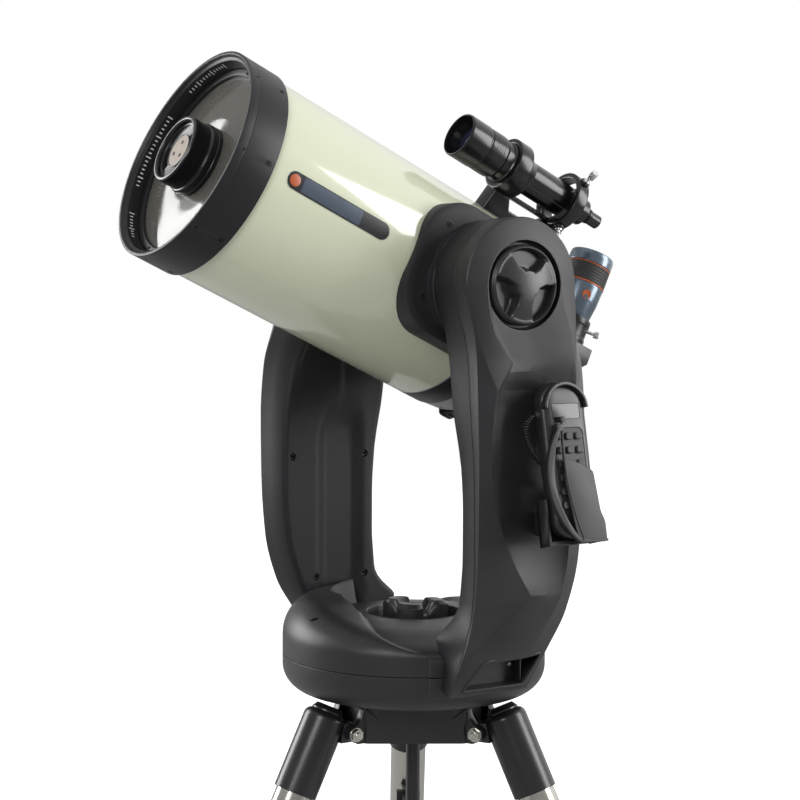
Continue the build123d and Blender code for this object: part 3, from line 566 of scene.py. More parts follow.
def floor_material():
    material, tree, shader = node_material("floor_white")
    grain = texture(tree, "ShaderNodeTexNoise", 3, Detail=2.0)
    tree.links.new(ramp(tree, grain.outputs["Fac"], [(0.3, (0.39, 0.39, 0.39)), (0.7, (0.41, 0.41, 0.41))]),
                   shader.inputs["Base Color"])
    shader.inputs["Roughness"].default_value = 0.9
    shader.inputs["Emission Color"].default_value = (1, 1, 1, 1)
    path = tree.nodes.new("ShaderNodeLightPath")
    tree.links.new(path.outputs["Is Camera Ray"], shader.inputs["Emission Strength"])
    return material


MATERIALS["floor"] = floor_material()
camera()
stage()


# ---------------------------------------------------------------- optical tube

def tube_shell():
    shape = Shape(TUBE)
    shape.lathe(rounded([(TUBE_R, -48), (TUBE_R, 336), (TUBE_R - 2, 336), (TUBE_R - 2, -48)], 0.4), "enamel",
                segments=256)
    shape.build("tube_shell", "tube", "tube_enamel", replaces=["optical_tube"])


def radial_frame(place, r, angle, height):
    """A frame on a cylinder's side, its z axis pointing outwards and its y axis along the cylinder."""
    x, y = polar(r, angle)
    return turned_frame(place, (x, y, height), (x, y, 0), (-y, x, 0))


def socket_screw(shape, place, r, look="chrome"):
    """A cap screw's head with its hexagonal socket, its top at the frame's origin."""
    head = rounded([(r * 0.5, 0), (r, 0), (r, -r), (r * 0.5, -r)], 0.15 * r)
    local = shape.place.inverted() @ place
    shape.lathe(head, look, local, 24)
    shape.lathe([(0, -0.55 * r), (r * 0.52, -0.55 * r), (r * 0.52, 0), (r * 0.5, 0), (r * 0.5, -r), (0, -r)],
                look, local, 6)


def front_cell():
    shape = Shape(TUBE)
    profile = [(135.2, 325.5), (139.3, 325.5), (139.3, 368), (139.0, 368.6), (139.3, 369.2), (139.3, 380.4),
               (135.2, 380.4), (133.2, 376.5), (129.5, 374.5), (127.4, 361), (127.4, 355.8), (119.3, 354.6),
               (117.7, 354.2), (117.7, 336.6), (135.0, 336.6)]
    shape.lathe(rounded(profile, 0.8), "cell", segments=256)
    cell = shape.build("front_cell_ring", "tube", "cell_paint", replaces=["front_cell"])
    cutter = Shape(TUBE)
    for angle in range(0, 360, 45):
        for height, r in ((335, 3.4), (371, 1.5)):
            local = TUBE.inverted() @ radial_frame(TUBE, 139.4, angle, height)
            cutter.rod(r, -1.6, 1, "flat_black", local, 24)
    carve(cell, [cutter])
    screws = Shape(TUBE)
    for angle in range(0, 360, 45):
        socket_screw(screws, radial_frame(TUBE, 138.9, angle, 335), 3.0, "cell")
    screws.build("front_cell_screws", "tube", "cell_paint")
    retainer = Shape(TUBE)
    retainer.lathe(rounded([(117.7, 354.4), (126.6, 355.9), (126.6, 358.4), (118.6, 358.0)], 0.5), "cell",
                   segments=192)
    for angle in range(0, 360, 60):
        x, y = polar(122.4, angle + 12)
        socket_screw(retainer, turned_frame(TUBE, (x, y, 359.2), (0, 0, 1)), 1.9, "cell")
    retainer.build("corrector_retainer", "tube", "cell_paint")


TICK_STEP = 2.6
TICK_HALF = 0.32


def cell_marks():
    """A plain scale of ticks on the cell's inner slope."""
    shape = Shape(TUBE)
    groups = [(96, 132), (150, 196), (214, 236)]
    for start, end in groups:
        angle = start
        index = 0
        while angle < end:
            long_tick = index % 5 == 0
            a, b = (364.5, 371.5) if long_tick else (366.2, 370.0)
            corners = []
            for side, height in ((-TICK_HALF, a), (TICK_HALF, a), (TICK_HALF, b), (-TICK_HALF, b)):
                r = 127.4 + (height - 361) * 2.1 / 13.5 - 0.12
                corners.append((*polar(r, angle + side), height))
            shape.add(corners, [[0, 1, 2, 3]], "white")
            angle += TICK_STEP
            index += 1
    marks = shape.build("cell_scale_marks", "tube", "cell_paint")
    modifier = marks.modifiers.new("thickness", "SOLIDIFY")
    modifier.thickness = 0.00012
    settle(marks, 35)


def corrector():
    shape = Shape(TUBE)
    shape.tube(38, 117.6, 348.2, 353.8, 0.3, "glass", segments=160)
    shape.build("corrector_glass", "tube", "corrector_glass", replaces=["corrector_plate"])


def secondary_housing():
    shape = Shape(TUBE)
    profile = [(0, 334), (37.7, 334), (37.7, 354.2), (46.8, 354.2), (46.8, 359), (45.9, 359.6), (45.9, 361),
               (46.8, 361.6), (46.8, 367), (45.6, 369.2), (44, 369.8), (44, 392), (42.6, 393.8),
               (39.5, 393.8), (38.2, 391.4), (37.4, 387), (36.2, 386.2), (0, 386.2)]
    shape.lathe(rounded(profile, 0.6), "finder", segments=128)
    housing = shape.build("secondary_cover", "tube", "finder_paint", replaces=["secondary_housing"])
    cutters = Shape(TUBE)
    for angle in (20, 200):
        outline = [polar(r, angle + a) for r, a in
                   [(24, -34), (24, -17), (24, 0), (24, 17), (24, 34), (34.5, 30), (34.5, 15), (34.5, 0),
                    (34.5, -15), (34.5, -30)]]
        cutters.prism(outline[::-1], 379, 390, "flat_black")
    carve(housing, [cutters])
    label = Shape(TUBE)
    label.lathe([(0, 386.9), (20.5, 386.9), (20.8, 386.3), (0, 386.3)], "sticker", segments=64)
    label.tube(20.8, 22.6, 386.2, 387.4, 0.3, "finder", segments=64)
    for angle in (80, 200, 320):
        x, y = polar(11, angle)
        place = Matrix.Translation((x, y, 386.9))
        label.tube(0, 2.6, 0, 0.5, 0.2, "rubber", place, 20)
    label.build("secondary_label", "tube", "finder_paint")


def badge():
    """A generic plate on the tube's flank: a dark strip with a round end and two plain fields."""
    shape = Shape(TUBE)
    half, front, back, r_end = 11.0, 303.0, 146.0, 11.0

    def plate(inset, lift, look, low=None, high=None):
        a, b = back + inset, front - inset
        h, corner = half - inset, max(0.5, r_end - inset)
        columns = []
        count = 90
        for i in range(count + 1):
            t = a + (b - a) * i / count
            if low is not None and not low <= t <= high:
                continue
            edge = min(t - a, b - t)
            y = h if edge >= corner else h - corner + math.sqrt(max(0.0, corner**2 - (corner - edge) ** 2))
            columns.append((t, max(y, 0.05)))
        rows = []
        for t, y in columns:
            rows.append([(*polar(TUBE_R + lift, math.degrees(v / TUBE_R)),
                          t) for v in [-y + 2 * y * k / 12 for k in range(13)]])
        shape.grid(rows, look)
        return rows

    top = plate(0, 0.9, "badge_edge")
    sunk = (TUBE_R - 0.2) / (TUBE_R + 0.9)
    under = [[(x * sunk, y * sunk, t) for x, y, t in row] for row in top]
    shape.grid([[row[0] for row in top], [row[0] for row in under]], "badge_edge")
    shape.grid([[row[-1] for row in top], [row[-1] for row in under]], "badge_edge")
    shape.grid([top[0], under[0]], "badge_edge")
    shape.grid([top[-1], under[-1]], "badge_edge")
    plate(1.6, 1.15, "badge_face", 190, 282)
    shape.lathe([(0, 0.8), (7.4, 0.8), (7.4, 1.2), (6.9, 1.35), (0, 1.35)], "orange",
                TUBE.inverted() @ radial_frame(TUBE, TUBE_R, 0, 292.5), 48)
    shape.build("tube_badge", "tube", "tube_enamel", smooth=40)


def rear_cell():
    shape = Shape(TUBE)
    profile = [(133.2, -47.4), (134.9, -47.4), (134.9, -85.4), (133.9, -86.2), (133.9, -88), (131.6, -116),
               (130.2, -118.6), (125, -123.6), (58, -123.6), (55, -131.6), (32.3, -131.6), (32.3, -113),
               (52, -113), (126.5, -107), (126.5, -34.6), (133, -34.6)]
    shape.lathe(rounded(profile, 1.2), "rear", segments=224)
    cell = shape.build("rear_cell_casting", "tube", "rear_paint", replaces=["rear_cell"])
    cutters = Shape(TUBE)
    for angle, r, hole in ((262, 121, 4.2), (338, 121, 4.2), (300, 88, 5.2), (80, 104, 2.1), (100, 104, 2.1)):
        x, y = polar(r, angle)
        cutters.rod(hole, -134, -100, "flat_black", Matrix.Translation((x, y, 0)), 24)
    for angle in range(8, 360, 22):
        x, y = polar(133.2, angle)
        local = TUBE.inverted() @ radial_frame(TUBE, 134.6, angle, -104)
        cutters.rod(2.6, -4.5, 2, "flat_black", local, 16)
    carve(cell, [cutters])
    ribs = Shape(TUBE)
    for angle in range(0, 360, 30):
        turn = Matrix.Rotation(math.radians(angle + 15), 4, "Z")
        root = [(58, -1.5, -123), (112, -1.5, -123), (112, 1.5, -123), (58, 1.5, -123)]
        crest = [(58, -1.2, -126.5), (108, -1.2, -125), (108, 1.2, -125), (58, 1.2, -126.5)]
        ribs.between(root, crest, "rear", turn)
    ribs.build("rear_cell_ribs", "tube", "rear_paint", bevel=0.8)
    band = Shape(TUBE)
    band.tube(134.0, 135.0, -50, -84.6, 0.4, "cell", segments=224)
    for height in (-56, -78):
        band.tube(134.6, 135.0, height - 1, height + 1, 0.2, "cell", segments=160)
    band.build("rear_cell_band", "tube", "rear_paint")


def grip_knob(shape, local, r, low, high, look, lobes=12, depth=1.4):
    """A round knob with shallow flutes round its edge and a dished end at the low side."""
    points_per = 8
    count = lobes * points_per
    rows = []
    for radius, height, flute in ((r * 0.5, high, 0), (r - 1, high, 0.5), (r, high - 1.2, 1),
                                  (r, low + 2.2, 1),
                                  (r - 1.6, low, 0.6), (r * 0.72, low, 0.1), (r * 0.66, low + 1.4, 0),
                                  (r * 0.1, low + 1.8, 0)):
        row = []
        for i in range(count):
            angle = 2 * math.pi * i / count
            rr = radius - flute * depth * max(0.0, math.cos(angle * lobes)) ** 2
            row.append((rr * math.cos(angle), rr * math.sin(angle), height))
        rows.append(row)
    shape.loft(rows, look, local)


def rear_knobs():
    for number, angle in enumerate((262, 338), start=1):
        shape = Shape(TUBE)
        x, y = polar(121, angle)
        place = Matrix.Translation((x, y, 0))
        grip_knob(shape, place, 17.8, -139.8, -125, "knob", 10)
        shape.rod(4, -126, -106.5, "chrome", place, 24)
        shape.build(f"mirror_lock_{number}", f"mirror_lock_{number}", "knob_plastic", bevel=0.4,
                    replaces=[f"mirror_lock_knob_{number}"])
    shape = Shape(TUBE)
    x, y = polar(88, 300)
    place = Matrix.Translation((x, y, 0))
    grip_knob(shape, place, 16.8, -161.8, -125, "knob", 16, 1.0)
    shape.rod(5, -126, -102.2, "chrome", place, 24)
    shape.build("focus_grip", "focus", "knob_plastic", bevel=0.4, replaces=["focus_knob"])


def visual_back():
    shape = Shape(TUBE)
    profile = [(25.8, -132.2), (31, -132.2), (43.8, -133.2), (43.8, -149.6), (34, -155.8), (34, -161),
               (33, -162), (34, -163), (34, -184.6), (30, -187.8), (25.8, -187.8)]
    shape.lathe(rounded(profile, 0.7), "anodised", segments=128)
    for angle in range(0, 360, 6):
        near, far = [[(*polar(43.4, angle - 1.6), root), (*polar(43.4, angle + 1.6), root),
                      (*polar(44.0, angle + 0.7), crest), (*polar(44.0, angle - 0.7), crest)]
                     for root, crest in ((-135.5, -136.5), (-147.5, -146.5))]
        shape.between(near, far, "anodised")
    shape.build("visual_back_tube", "tube", "black_anodised", replaces=["visual_back"])


def star_diagonal():
    shape = Shape(TUBE)
    shape.tube(22, 25.72, -212, -136.2, 0.5, "steel", segments=96)
    shape.lathe(rounded([(25.5, -206), (30.5, -206), (30.5, -196), (29.3, -195), (25.5, -195)], 0.6),
                "anodised", segments=96)
    side = [(36, -206.2), (-31, -206.2), (-31, -247), (14, -292), (36, -292)]
    near, far = [[(x, n, t) for n, t in side] for x in (-31, 31)]
    shape.between(near, far, "anodised")
    shape.build("diagonal_body", "diagonal", "black_anodised", bevel=3.0, bevel_angle=30, segments=4,
                       replaces=["star_diagonal"])
    collar = Shape(EYE)
    collar.lathe(rounded([(25.6, 34), (30.8, 34), (30.8, 44), (29.8, 45), (29.8, 62), (30.9, 63),
                          (30.9, 71.8), (25.6, 71.8)], 0.6), "anodised", segments=96)
    collar.build("diagonal_collar", "diagonal", "black_anodised")
    back = Shape(TUBE)
    slant = turned_frame(TUBE, (0, -8.2, -269.4), (0, -1, -1), (1, 0, 0))
    local = TUBE.inverted() @ slant
    back.prism(rounded_box(52, 50, 8), 0, 2.2, "anodised", local)
    for x, y in ((-21, -20), (21, -20), (21, 20), (-21, 20)):
        socket_screw(back, slant @ Matrix.Translation((x, y, 3.4)), 2.2)
    back.build("diagonal_back_plate", "diagonal", "black_anodised", bevel=0.6)


def thumbscrew(shape, place, r, low, high, stem_r, stem_low, look="chrome"):
    """A knurled head between low and high, with a stem down to stem_low."""
    local = shape.place.inverted() @ place
    teeth = 28
    count = teeth * 4
    rows = []
    for radius, height, cut in ((stem_r, low, 0), (r - 0.6, low, 0.2), (r, low + 0.7, 1), (r, high - 0.9, 1),
                                (r - 0.8, high, 0.2), (r * 0.3, high, 0)):
        row = []
        for i in range(count):
            angle = 2 * math.pi * i / count
            rr = radius - cut * 0.35 * (1 if i % 4 in (0, 1) else 0)
            row.append((rr * math.cos(angle), rr * math.sin(angle), height))
        rows.append(row)
    shape.grid(rows, look, local, wrap=True)
    shape.cap(rows[-1], look, local)
    shape.tube(0, stem_r, stem_low, low + 0.5, 0.3, look, local, 32)


def diagonal_screw():
    turn = math.radians(35)
    place = turned_frame(TUBE, (0, 60, -258), (math.sin(turn), 0, -math.cos(turn)), (0, 1, 0))
    shape = Shape(TUBE)
    thumbscrew(shape, place, 5.0, 40, 48, 2.5, 26)
    shape.build("diagonal_screw", "diagonal_screw", "screw_chrome", replaces=["diagonal_thumbscrew"])


def eyepiece():
    shape = Shape(EYE)
    shape.tube(21, 25.52, 34.2, 72.6, 0.5, "steel", segments=96)
    shape.lathe(rounded([(20, 72.4), (25.8, 72.4), (27.2, 77), (30.2, 98), (31.3, 119.8), (30.9, 121),
                         (24, 121)],
                        0.6), "eyepiece", segments=128)
    for low, high in ((121.0, 123.2), (148.6, 150.2)):
        shape.tube(26, 31.7, low, high, 0.4, "orange", segments=128)
    grip = []
    for i in range(13):
        height = 123.2 + 25.4 * i / 12
        grip.append((31.2 + (0.6 if i % 2 else 0.0), height))
    profile = [(27, 123.2), *grip, (27, 148.6)]
    shape.lathe(rounded(profile, 0.4), "rubber", segments=128)
    shape.lathe(rounded([(10, 150.2), (28.9, 150.2), (28.9, 160.8), (20, 160.8), (14, 156), (10, 156)], 0.5),
                "finder", segments=96)
    shape.lathe([(0, 156.5), (8, 157.6), (14.5, 156.2), (14.5, 154), (0, 154)], "lens", segments=64)
    dot = turned_frame(EYE, (*polar(29.4, -16), 104), (*polar(1, -16), -0.13), (0, 0, 1))
    local = EYE.inverted() @ dot
    shape.lathe(rounded([(0, -1), (6.6, -1), (6.6, 1.6), (5.4, 1.6), (5.4, 1.1), (0, 1.1)], 0.3), "orange",
                local, 32)
    shape.build("eyepiece_body", "eyepiece_barrel", "eyepiece_paint", replaces=["eyepiece"])
    cup = Shape(EYE)
    cup.lathe(rounded([(29.4, 150.8), (31.9, 150.8), (31.9, 153), (31.9, 161), (31.3, 166.4), (30.3, 167.8),
                       (29.2, 167.2), (29.4, 160)], 0.8), "eyepiece", segments=128)
    cup.build("eyecup_ring", "eyecup_ring", "eyecup_rubber", replaces=["eyecup"])


def finder():
    shape = Shape(FINDER)
    profile = [(0, -186), (6.5, -186), (7.5, -188.8), (9.4, -188.8), (9.4, -172), (10.4, -171), (10.4, -168),
               (9.6, -167), (9.6, -160), (18.5, -158), (18.5, -146.5), (22.2, -144.5), (22.2, -52),
               (24.6, -46),
               (29.0, -37), (29.0, -10), (27, -8.4), (27, 1.6), (29.3, 5.4), (29.3, 31), (28.6, 32),
               (28.6, 34),
               (29.9, 35.2), (29.9, 66.5), (29.0, 68.8), (27.6, 68.8), (26.6, 60), (26.6, 46), (0, 46)]
    shape.lathe(rounded(profile, 0.5), "finder", segments=128)
    for height in range(-170, -160, 2):
        shape.lathe(rounded([(9.2, height - 0.6), (10.6, height - 0.4), (10.6, height + 0.4),
                             (9.2, height + 0.6)],
                            0.2), "finder", segments=64)
    for height in (10.5, 14.5, 18.5, 22.5):
        shape.lathe(rounded([(28.9, height - 1.2), (29.5, height - 0.8), (29.5, height + 0.8),
                             (28.9, height + 1.2)],
                            0.2), "finder", segments=96)
    shape.lathe([(0, 53.5), (12, 52.6), (20, 50.6), (26.4, 47), (26.4, 45.5), (0, 45.5)], "lens", segments=96)
    shape.lathe([(0, -186.6), (6.6, -186.2), (6.6, -185), (0, -185)], "lens", segments=48)
    shape.build("finder_tube", "tube", "finder_paint", replaces=["finder_scope"])


def finder_bracket():
    shape = Shape(FINDER)
    shape.tube(29.3, 36, -34, -12, 1.2, "finder", segments=128)
    shape.tube(31.2, 38.8, -134, -116, 1.4, "finder", segments=128)
    inward = math.degrees(math.atan2(-184, -75))
    turn = Matrix.Rotation(math.radians(inward), 4, "Z")
    side = [(32.5, -132), (66, -134), (66, -14), (34, -16), (34, -42), (50, -52), (50, -104), (37, -112)]
    near, far = [[(x, y, t) for x, t in side] for y in (-13, 13)]
    stem = Shape(FINDER)
    stem.between(near, far, "finder", turn)
    shape.build("bracket_rings", "tube", "finder_paint", replaces=["finder_bracket"])
    outer = [polar(36.4, inward + a) for a in range(-78, 79, 6)]
    trough = Shape(FINDER)
    trough.prism(outer + [polar(32.6, inward + a) for a in range(78, -79, -6)], -118, -28, "finder")
    cradle = trough.build("bracket_cradle", "tube", "finder_paint", smooth=30)
    windows = []
    for angle in (inward - 52, inward + 52):
        window = Shape(FINDER)
        spin = Matrix.Rotation(math.radians(angle), 4, "Z")
        window.prism([(25, -14), (45, -17), (45, 17), (25, 14)], -108, -42, "finder", spin)
        windows.append(window)
    carve(cradle, windows, smooth=30)
    foot = stem.build("bracket_stem", "tube", "finder_paint", bevel=2.0, segments=3)
    cutters = Shape(TUBE)
    cutters.rod(135.3, -300, 100, "finder", segments=160)
    inner = Shape(FINDER)
    inner.rod(31.2, -140, -100, "finder", segments=96)
    inner.rod(29.3, -60, 10, "finder", segments=96)
    carve(foot, [cutters, inner])
    bosses = Shape(FINDER)
    screws = Shape(FINDER)
    for angle in (-75, 41):
        place = turned_frame(FINDER, (0, 0, -125), (*polar(1, angle), 0), (0, 0, 1))
        local = FINDER.inverted() @ place
        bosses.tube(2.7, 7, 37, 42.5, 0.6, "finder", local, 32)
        thumbscrew(screws, place, 5.0, 49.5, 62, 2.5, 19)
        screws.tube(2.6, 5.2, 42.8, 45.6, 0.4, "chrome", local, 24)
    bosses.build("bracket_bosses", "tube", "finder_paint")
    screws.build("finder_screws", "tube", "screw_chrome", replaces=["finder_thumbscrews"])
    spring = Shape(FINDER)
    place = turned_frame(FINDER, (0, 0, -125), (*polar(1, 163), 0), (0, 0, 1))
    spring.lathe(rounded([(0, 19), (3, 19), (3, 30), (5.5, 31.5), (5.5, 47), (0, 47)], 0.5),
                 "finder", FINDER.inverted() @ place, 32)
    spring.build("finder_spring_plunger", "tube", "finder_paint")


tube_shell()
front_cell()
cell_marks()
corrector()
secondary_housing()
badge()
rear_cell()
rear_knobs()
visual_back()
star_diagonal()
diagonal_screw()
eyepiece()
finder()
finder_bracket()

# ---------------------------------------------------------------- fork arms

# The near arm's edges.  Each is (height, y) and (height, x) below the altitude axis, where the head's
# round ends; the head itself is turned about the axis.  The far arm is the same pair of castings
# turned half round.
LEVELS = (0, -12, -24, -40, -60, -84, -95, -106, -118, -129, -150, -170, -190, -208, -228, -247, -262, -275,
          -288,
          -300, -320, -339, -355, -372, -388, -398, -407, -416, -424, -432, -439, -445, -451, -457, -464,
          -472, -480,
          -489, -498, -506, -511)
HEAD_STEPS = 44
COLUMNS = 22
CREASE_HIGH, CREASE_TIP, CREASE_LOW = -95, -129, -388
INNER_FRONT = ((0, -82), (-40, -72), (-60, -64), (-100, -57), (-157, -51), (-236, -37), (-290, -34),
               (-346, -34),
               (-386, -37), (-404, -39), (-416, -45), (-427, -55.5), (-438, -69), (-445, -74), (-452, -73),
               (-464, -68), (-511, -64))
SEAM_FRONT = ((0, -84), (-40, -75), (-60, -68), (-100, -61), (-157, -57), (-236, -51), (-346, -49),
              (-404, -52),
              (-436, -59), (-459, -66), (-489, -80), (-511, -86))
RIDGE_FRONT = ((0, -84), (-40, -74.5), (-60, -69), (-100, -64), (-157, -61), (-236, -58), (-339, -57),
               (-388, -57),
               (-410, -57.5), (-436, -61), (-459, -67), (-489, -81), (-511, -87))
RIDGE_FRONT_X = ((0, 231), (-40, 230), (-129, 228), (-247, 226), (-339, 224), (-388, 220), (-410, 216.5),
                 (-436, 213),
                 (-459, 210), (-489, 207.6), (-511, 207.2))
BAND_FRONT = ((0, -82.4), (-40, -73), (-60, -67), (-84, -59), (-106, -49.5), (-129, -39))
BAND_FRONT_X = ((0, 232.5), (-40, 232), (-84, 234), (-129, 237))
PANEL_FRONT = ((-129, -39), (-150, -42), (-170, -44), (-204, -46), (-247, -44), (-273, -38), (-300, -29),
               (-339, -12), (-388, 19))
PANEL_FRONT_X = ((-129, 237), (-247, 235), (-388, 234))
CHIN_FRONT = ((-388, 19), (-403, -1.5), (-424, -22), (-443, -40), (-456, -55), (-470, -70), (-489, -79.5),
              (-511, -85.5))
CHIN_FRONT_X = ((-388, 234), (-403, 227), (-424, 219.8), (-443, 214.8), (-456, 212), (-470, 210.4),
                (-489, 208.8),
                (-511, 208))
LIP_FRONT = ((0, -57), (-24, -54.5), (-49, -49), (-70, -38), (-95, -18))
LIP_FRONT_X = ((0, 239), (-95, 238))
INNER_REAR = ((0, 82), (-30, 76), (-60, 77), (-110, 98), (-180, 111), (-240, 114), (-270, 114), (-350, 108),
              (-410, 90), (-460, 66), (-511, 37))
SEAM_REAR = ((0, 84), (-20, 87), (-50, 97), (-110, 117), (-180, 122), (-270, 121), (-350, 115), (-415, 97),
             (-465, 66), (-511, 34))
RIDGE_REAR = ((0, 84), (-20, 86), (-50, 95), (-110, 115), (-180, 120), (-270, 119), (-350, 113), (-415, 94),
              (-465, 62), (-511, 30))
RIDGE_REAR_X = ((0, 231), (-30, 222), (-60, 215), (-110, 211), (-400, 210), (-511, 207.2))
PANEL_REAR = ((0, 82.4), (-40, 84.5), (-92, 84), (-170, 85), (-247, 82), (-347, 76), (-388, 67), (-430, 54),
              (-470, 36), (-511, 23))
PANEL_REAR_X = ((0, 232.5), (-40, 234), (-92, 236.5), (-347, 235), (-388, 234), (-430, 223.5), (-470, 214),
                (-511, 208))
LIP_REAR = ((0, 57), (-24, 62), (-60, 75), (-95, 82))
LIP_REAR_X = ((0, 239), (-95, 237))
HANDLE = ((-67, -503), (-36, -469), (53, -468), (26, -504))


def front_panel(level, values_band, values_panel, values_chin):
    if level >= CREASE_TIP:
        return curve_through(values_band, level)
    if level >= CREASE_LOW:
        return curve_through(values_panel, level)
    return curve_through(values_chin, level)


def band_point(level):
    return (front_panel(level, BAND_FRONT_X, PANEL_FRONT_X, CHIN_FRONT_X),
            front_panel(level, BAND_FRONT, PANEL_FRONT, CHIN_FRONT), level)


def lip_front(level):
    """The raised band's inner edge, which runs out along a straight line between its two tips."""
    if level >= CREASE_HIGH:
        return curve_through(LIP_FRONT_X, level), curve_through(LIP_FRONT, level), level
    if level > CREASE_TIP:
        t = (CREASE_HIGH - level) / (CREASE_HIGH - CREASE_TIP)
        return 238 - t, -18 - 21 * t, level
    return band_point(level)


def lip_rear(level):
    if level >= CREASE_HIGH:
        return curve_through(LIP_REAR_X, level), curve_through(LIP_REAR, level), level
    return curve_through(PANEL_REAR_X, level), curve_through(PANEL_REAR, level), level


def arm_loop(front, rear, head_x, head_r):
    """Stations from the front foot up, over the head, down to the rear foot and back along the sole."""
    loop = [front(level) for level in reversed(LEVELS)]
    for i in range(1, HEAD_STEPS):
        y, z = polar(head_r, 180 - 180 * i / HEAD_STEPS)
        loop.append((head_x, y, z))
    loop += [rear(level) for level in LEVELS]
    a, b = Vector(loop[-1]), Vector(loop[0])
    loop += [tuple(a + (b - a) * k / COLUMNS) for k in range(1, COLUMNS)]
    return loop


def table_edge(values, x):
    """An edge at a fixed x, or with a table of x."""
    if isinstance(x, tuple):
        return lambda level: (curve_through(x, level), curve_through(values, level), level)
    return lambda level: (x, curve_through(values, level), level)


def inset(loop, amount, x):
    """The loop moved inwards in its own plane, at another x."""
    result = []
    count = len(loop)
    for i, (_, y, z) in enumerate(loop):
        before, after = loop[i - 1], loop[(i + 1) % count]
        run = Vector((after[1] - before[1], after[2] - before[2])).normalized()
        result.append((x, y + run.y * amount, z - run.x * amount))
    return result


def arm_frame(place, side, screws_at):
    inner = arm_loop(table_edge(INNER_FRONT, 156), table_edge(INNER_REAR, 156), 156, 82)
    seam = arm_loop(table_edge(SEAM_FRONT, 206), table_edge(SEAM_REAR, 206), 206, 84)
    quarter = [tuple(Vector(a).lerp(Vector(b), 0.12)) for a, b in zip(inner, seam)]
    middle = [tuple(Vector(a).lerp(Vector(b), 0.6)) for a, b in zip(inner, seam)]
    shape = Shape(place)
    face_edge = inset(inner, 6.5, 156)
    loops = [face_edge, inset(inner, 3.4, 156.7), inset(inner, 1.2, 158.6), quarter, middle,
             inset(seam, 0, 205.2), inset(seam, 0.8, 205.9)]
    shape.grid(loops, "arm", wrap=True)
    shape.cap(loops[-1], "arm")
    columns = 46
    rows = []
    count = len(LEVELS)

    def relief(y, z):
        channel = step(y, -20, 0) * (1 - step(y, 40, 62)) * (1 - step(z + 0.02 * (y - 21) ** 2, -192, -158))
        pad = step(y, 14, 24) * (1 - step(y, 84, 96)) * step(z, -166, -152) * (1 - step(z, -60, -40))
        return 7.5 * channel - 3.0 * pad

    for i in range(count):
        a, b = Vector(face_edge[count - 1 - i]), Vector(face_edge[count + HEAD_STEPS - 1 + i])
        row = []
        for k in range(columns + 1):
            point = a.lerp(b, k / columns)
            if 0 < k < columns and 0 < i < count - 1:
                point.x += relief(point.y, point.z)
            row.append(tuple(point))
        rows.append(row)
    shape.grid(rows, "arm")
    head = face_edge[count - 1:count + HEAD_STEPS]
    shape.cap(head + rows[0][1:-1][::-1], "arm")
    sole = face_edge[count * 2 + HEAD_STEPS - 2:] + [face_edge[0]]
    shape.cap(sole + rows[-1][1:-1], "arm")
    body = shape.build(f"{side}_frame_casting", "fork", "arm_paint", smooth=30,
                       replaces=[f"{side}_arm_frame"])
    cutters = Shape(place)
    for y, z in screws_at:
        local = place.inverted() @ turned_frame(place, (154, y, z), (1, 0, 0), (0, 1, 0))
        cutters.lathe([(0, -2), (6.4, -2), (6.4, 1), (4.9, 3.2), (4.9, 9), (0, 9)], "arm", local, 28)
    carve(body, [cutters, hold_pocket(place)], smooth=30)
    catch = Shape(place)
    socket_screw(catch, turned_frame(place, (192, 18, -481), (1, 0, 0), (0, 1, 0)), 2.6, "chrome")
    catch.prism([(184, 24.5), (205, 24.5), (205, 26), (184, 26)], -508, -469, "panel")
    catch.build(f"{side}_hold_catch", "fork", "arm_paint", smooth=35)


def arm_screws():
    shape = Shape(FORK)
    for place in (FORK, FAR_FORK):
        for y, z in ((99, -238), (-19, -238), (60, -410), (-20, -410)):
            socket_screw(shape, turned_frame(place, (159.4, y, z), (-1, 0, 0), (0, 1, 0)), 4.2, "anodised")
    shape.build("arm_screws", "fork", "steel_bolt", replaces=["fork_screws"])


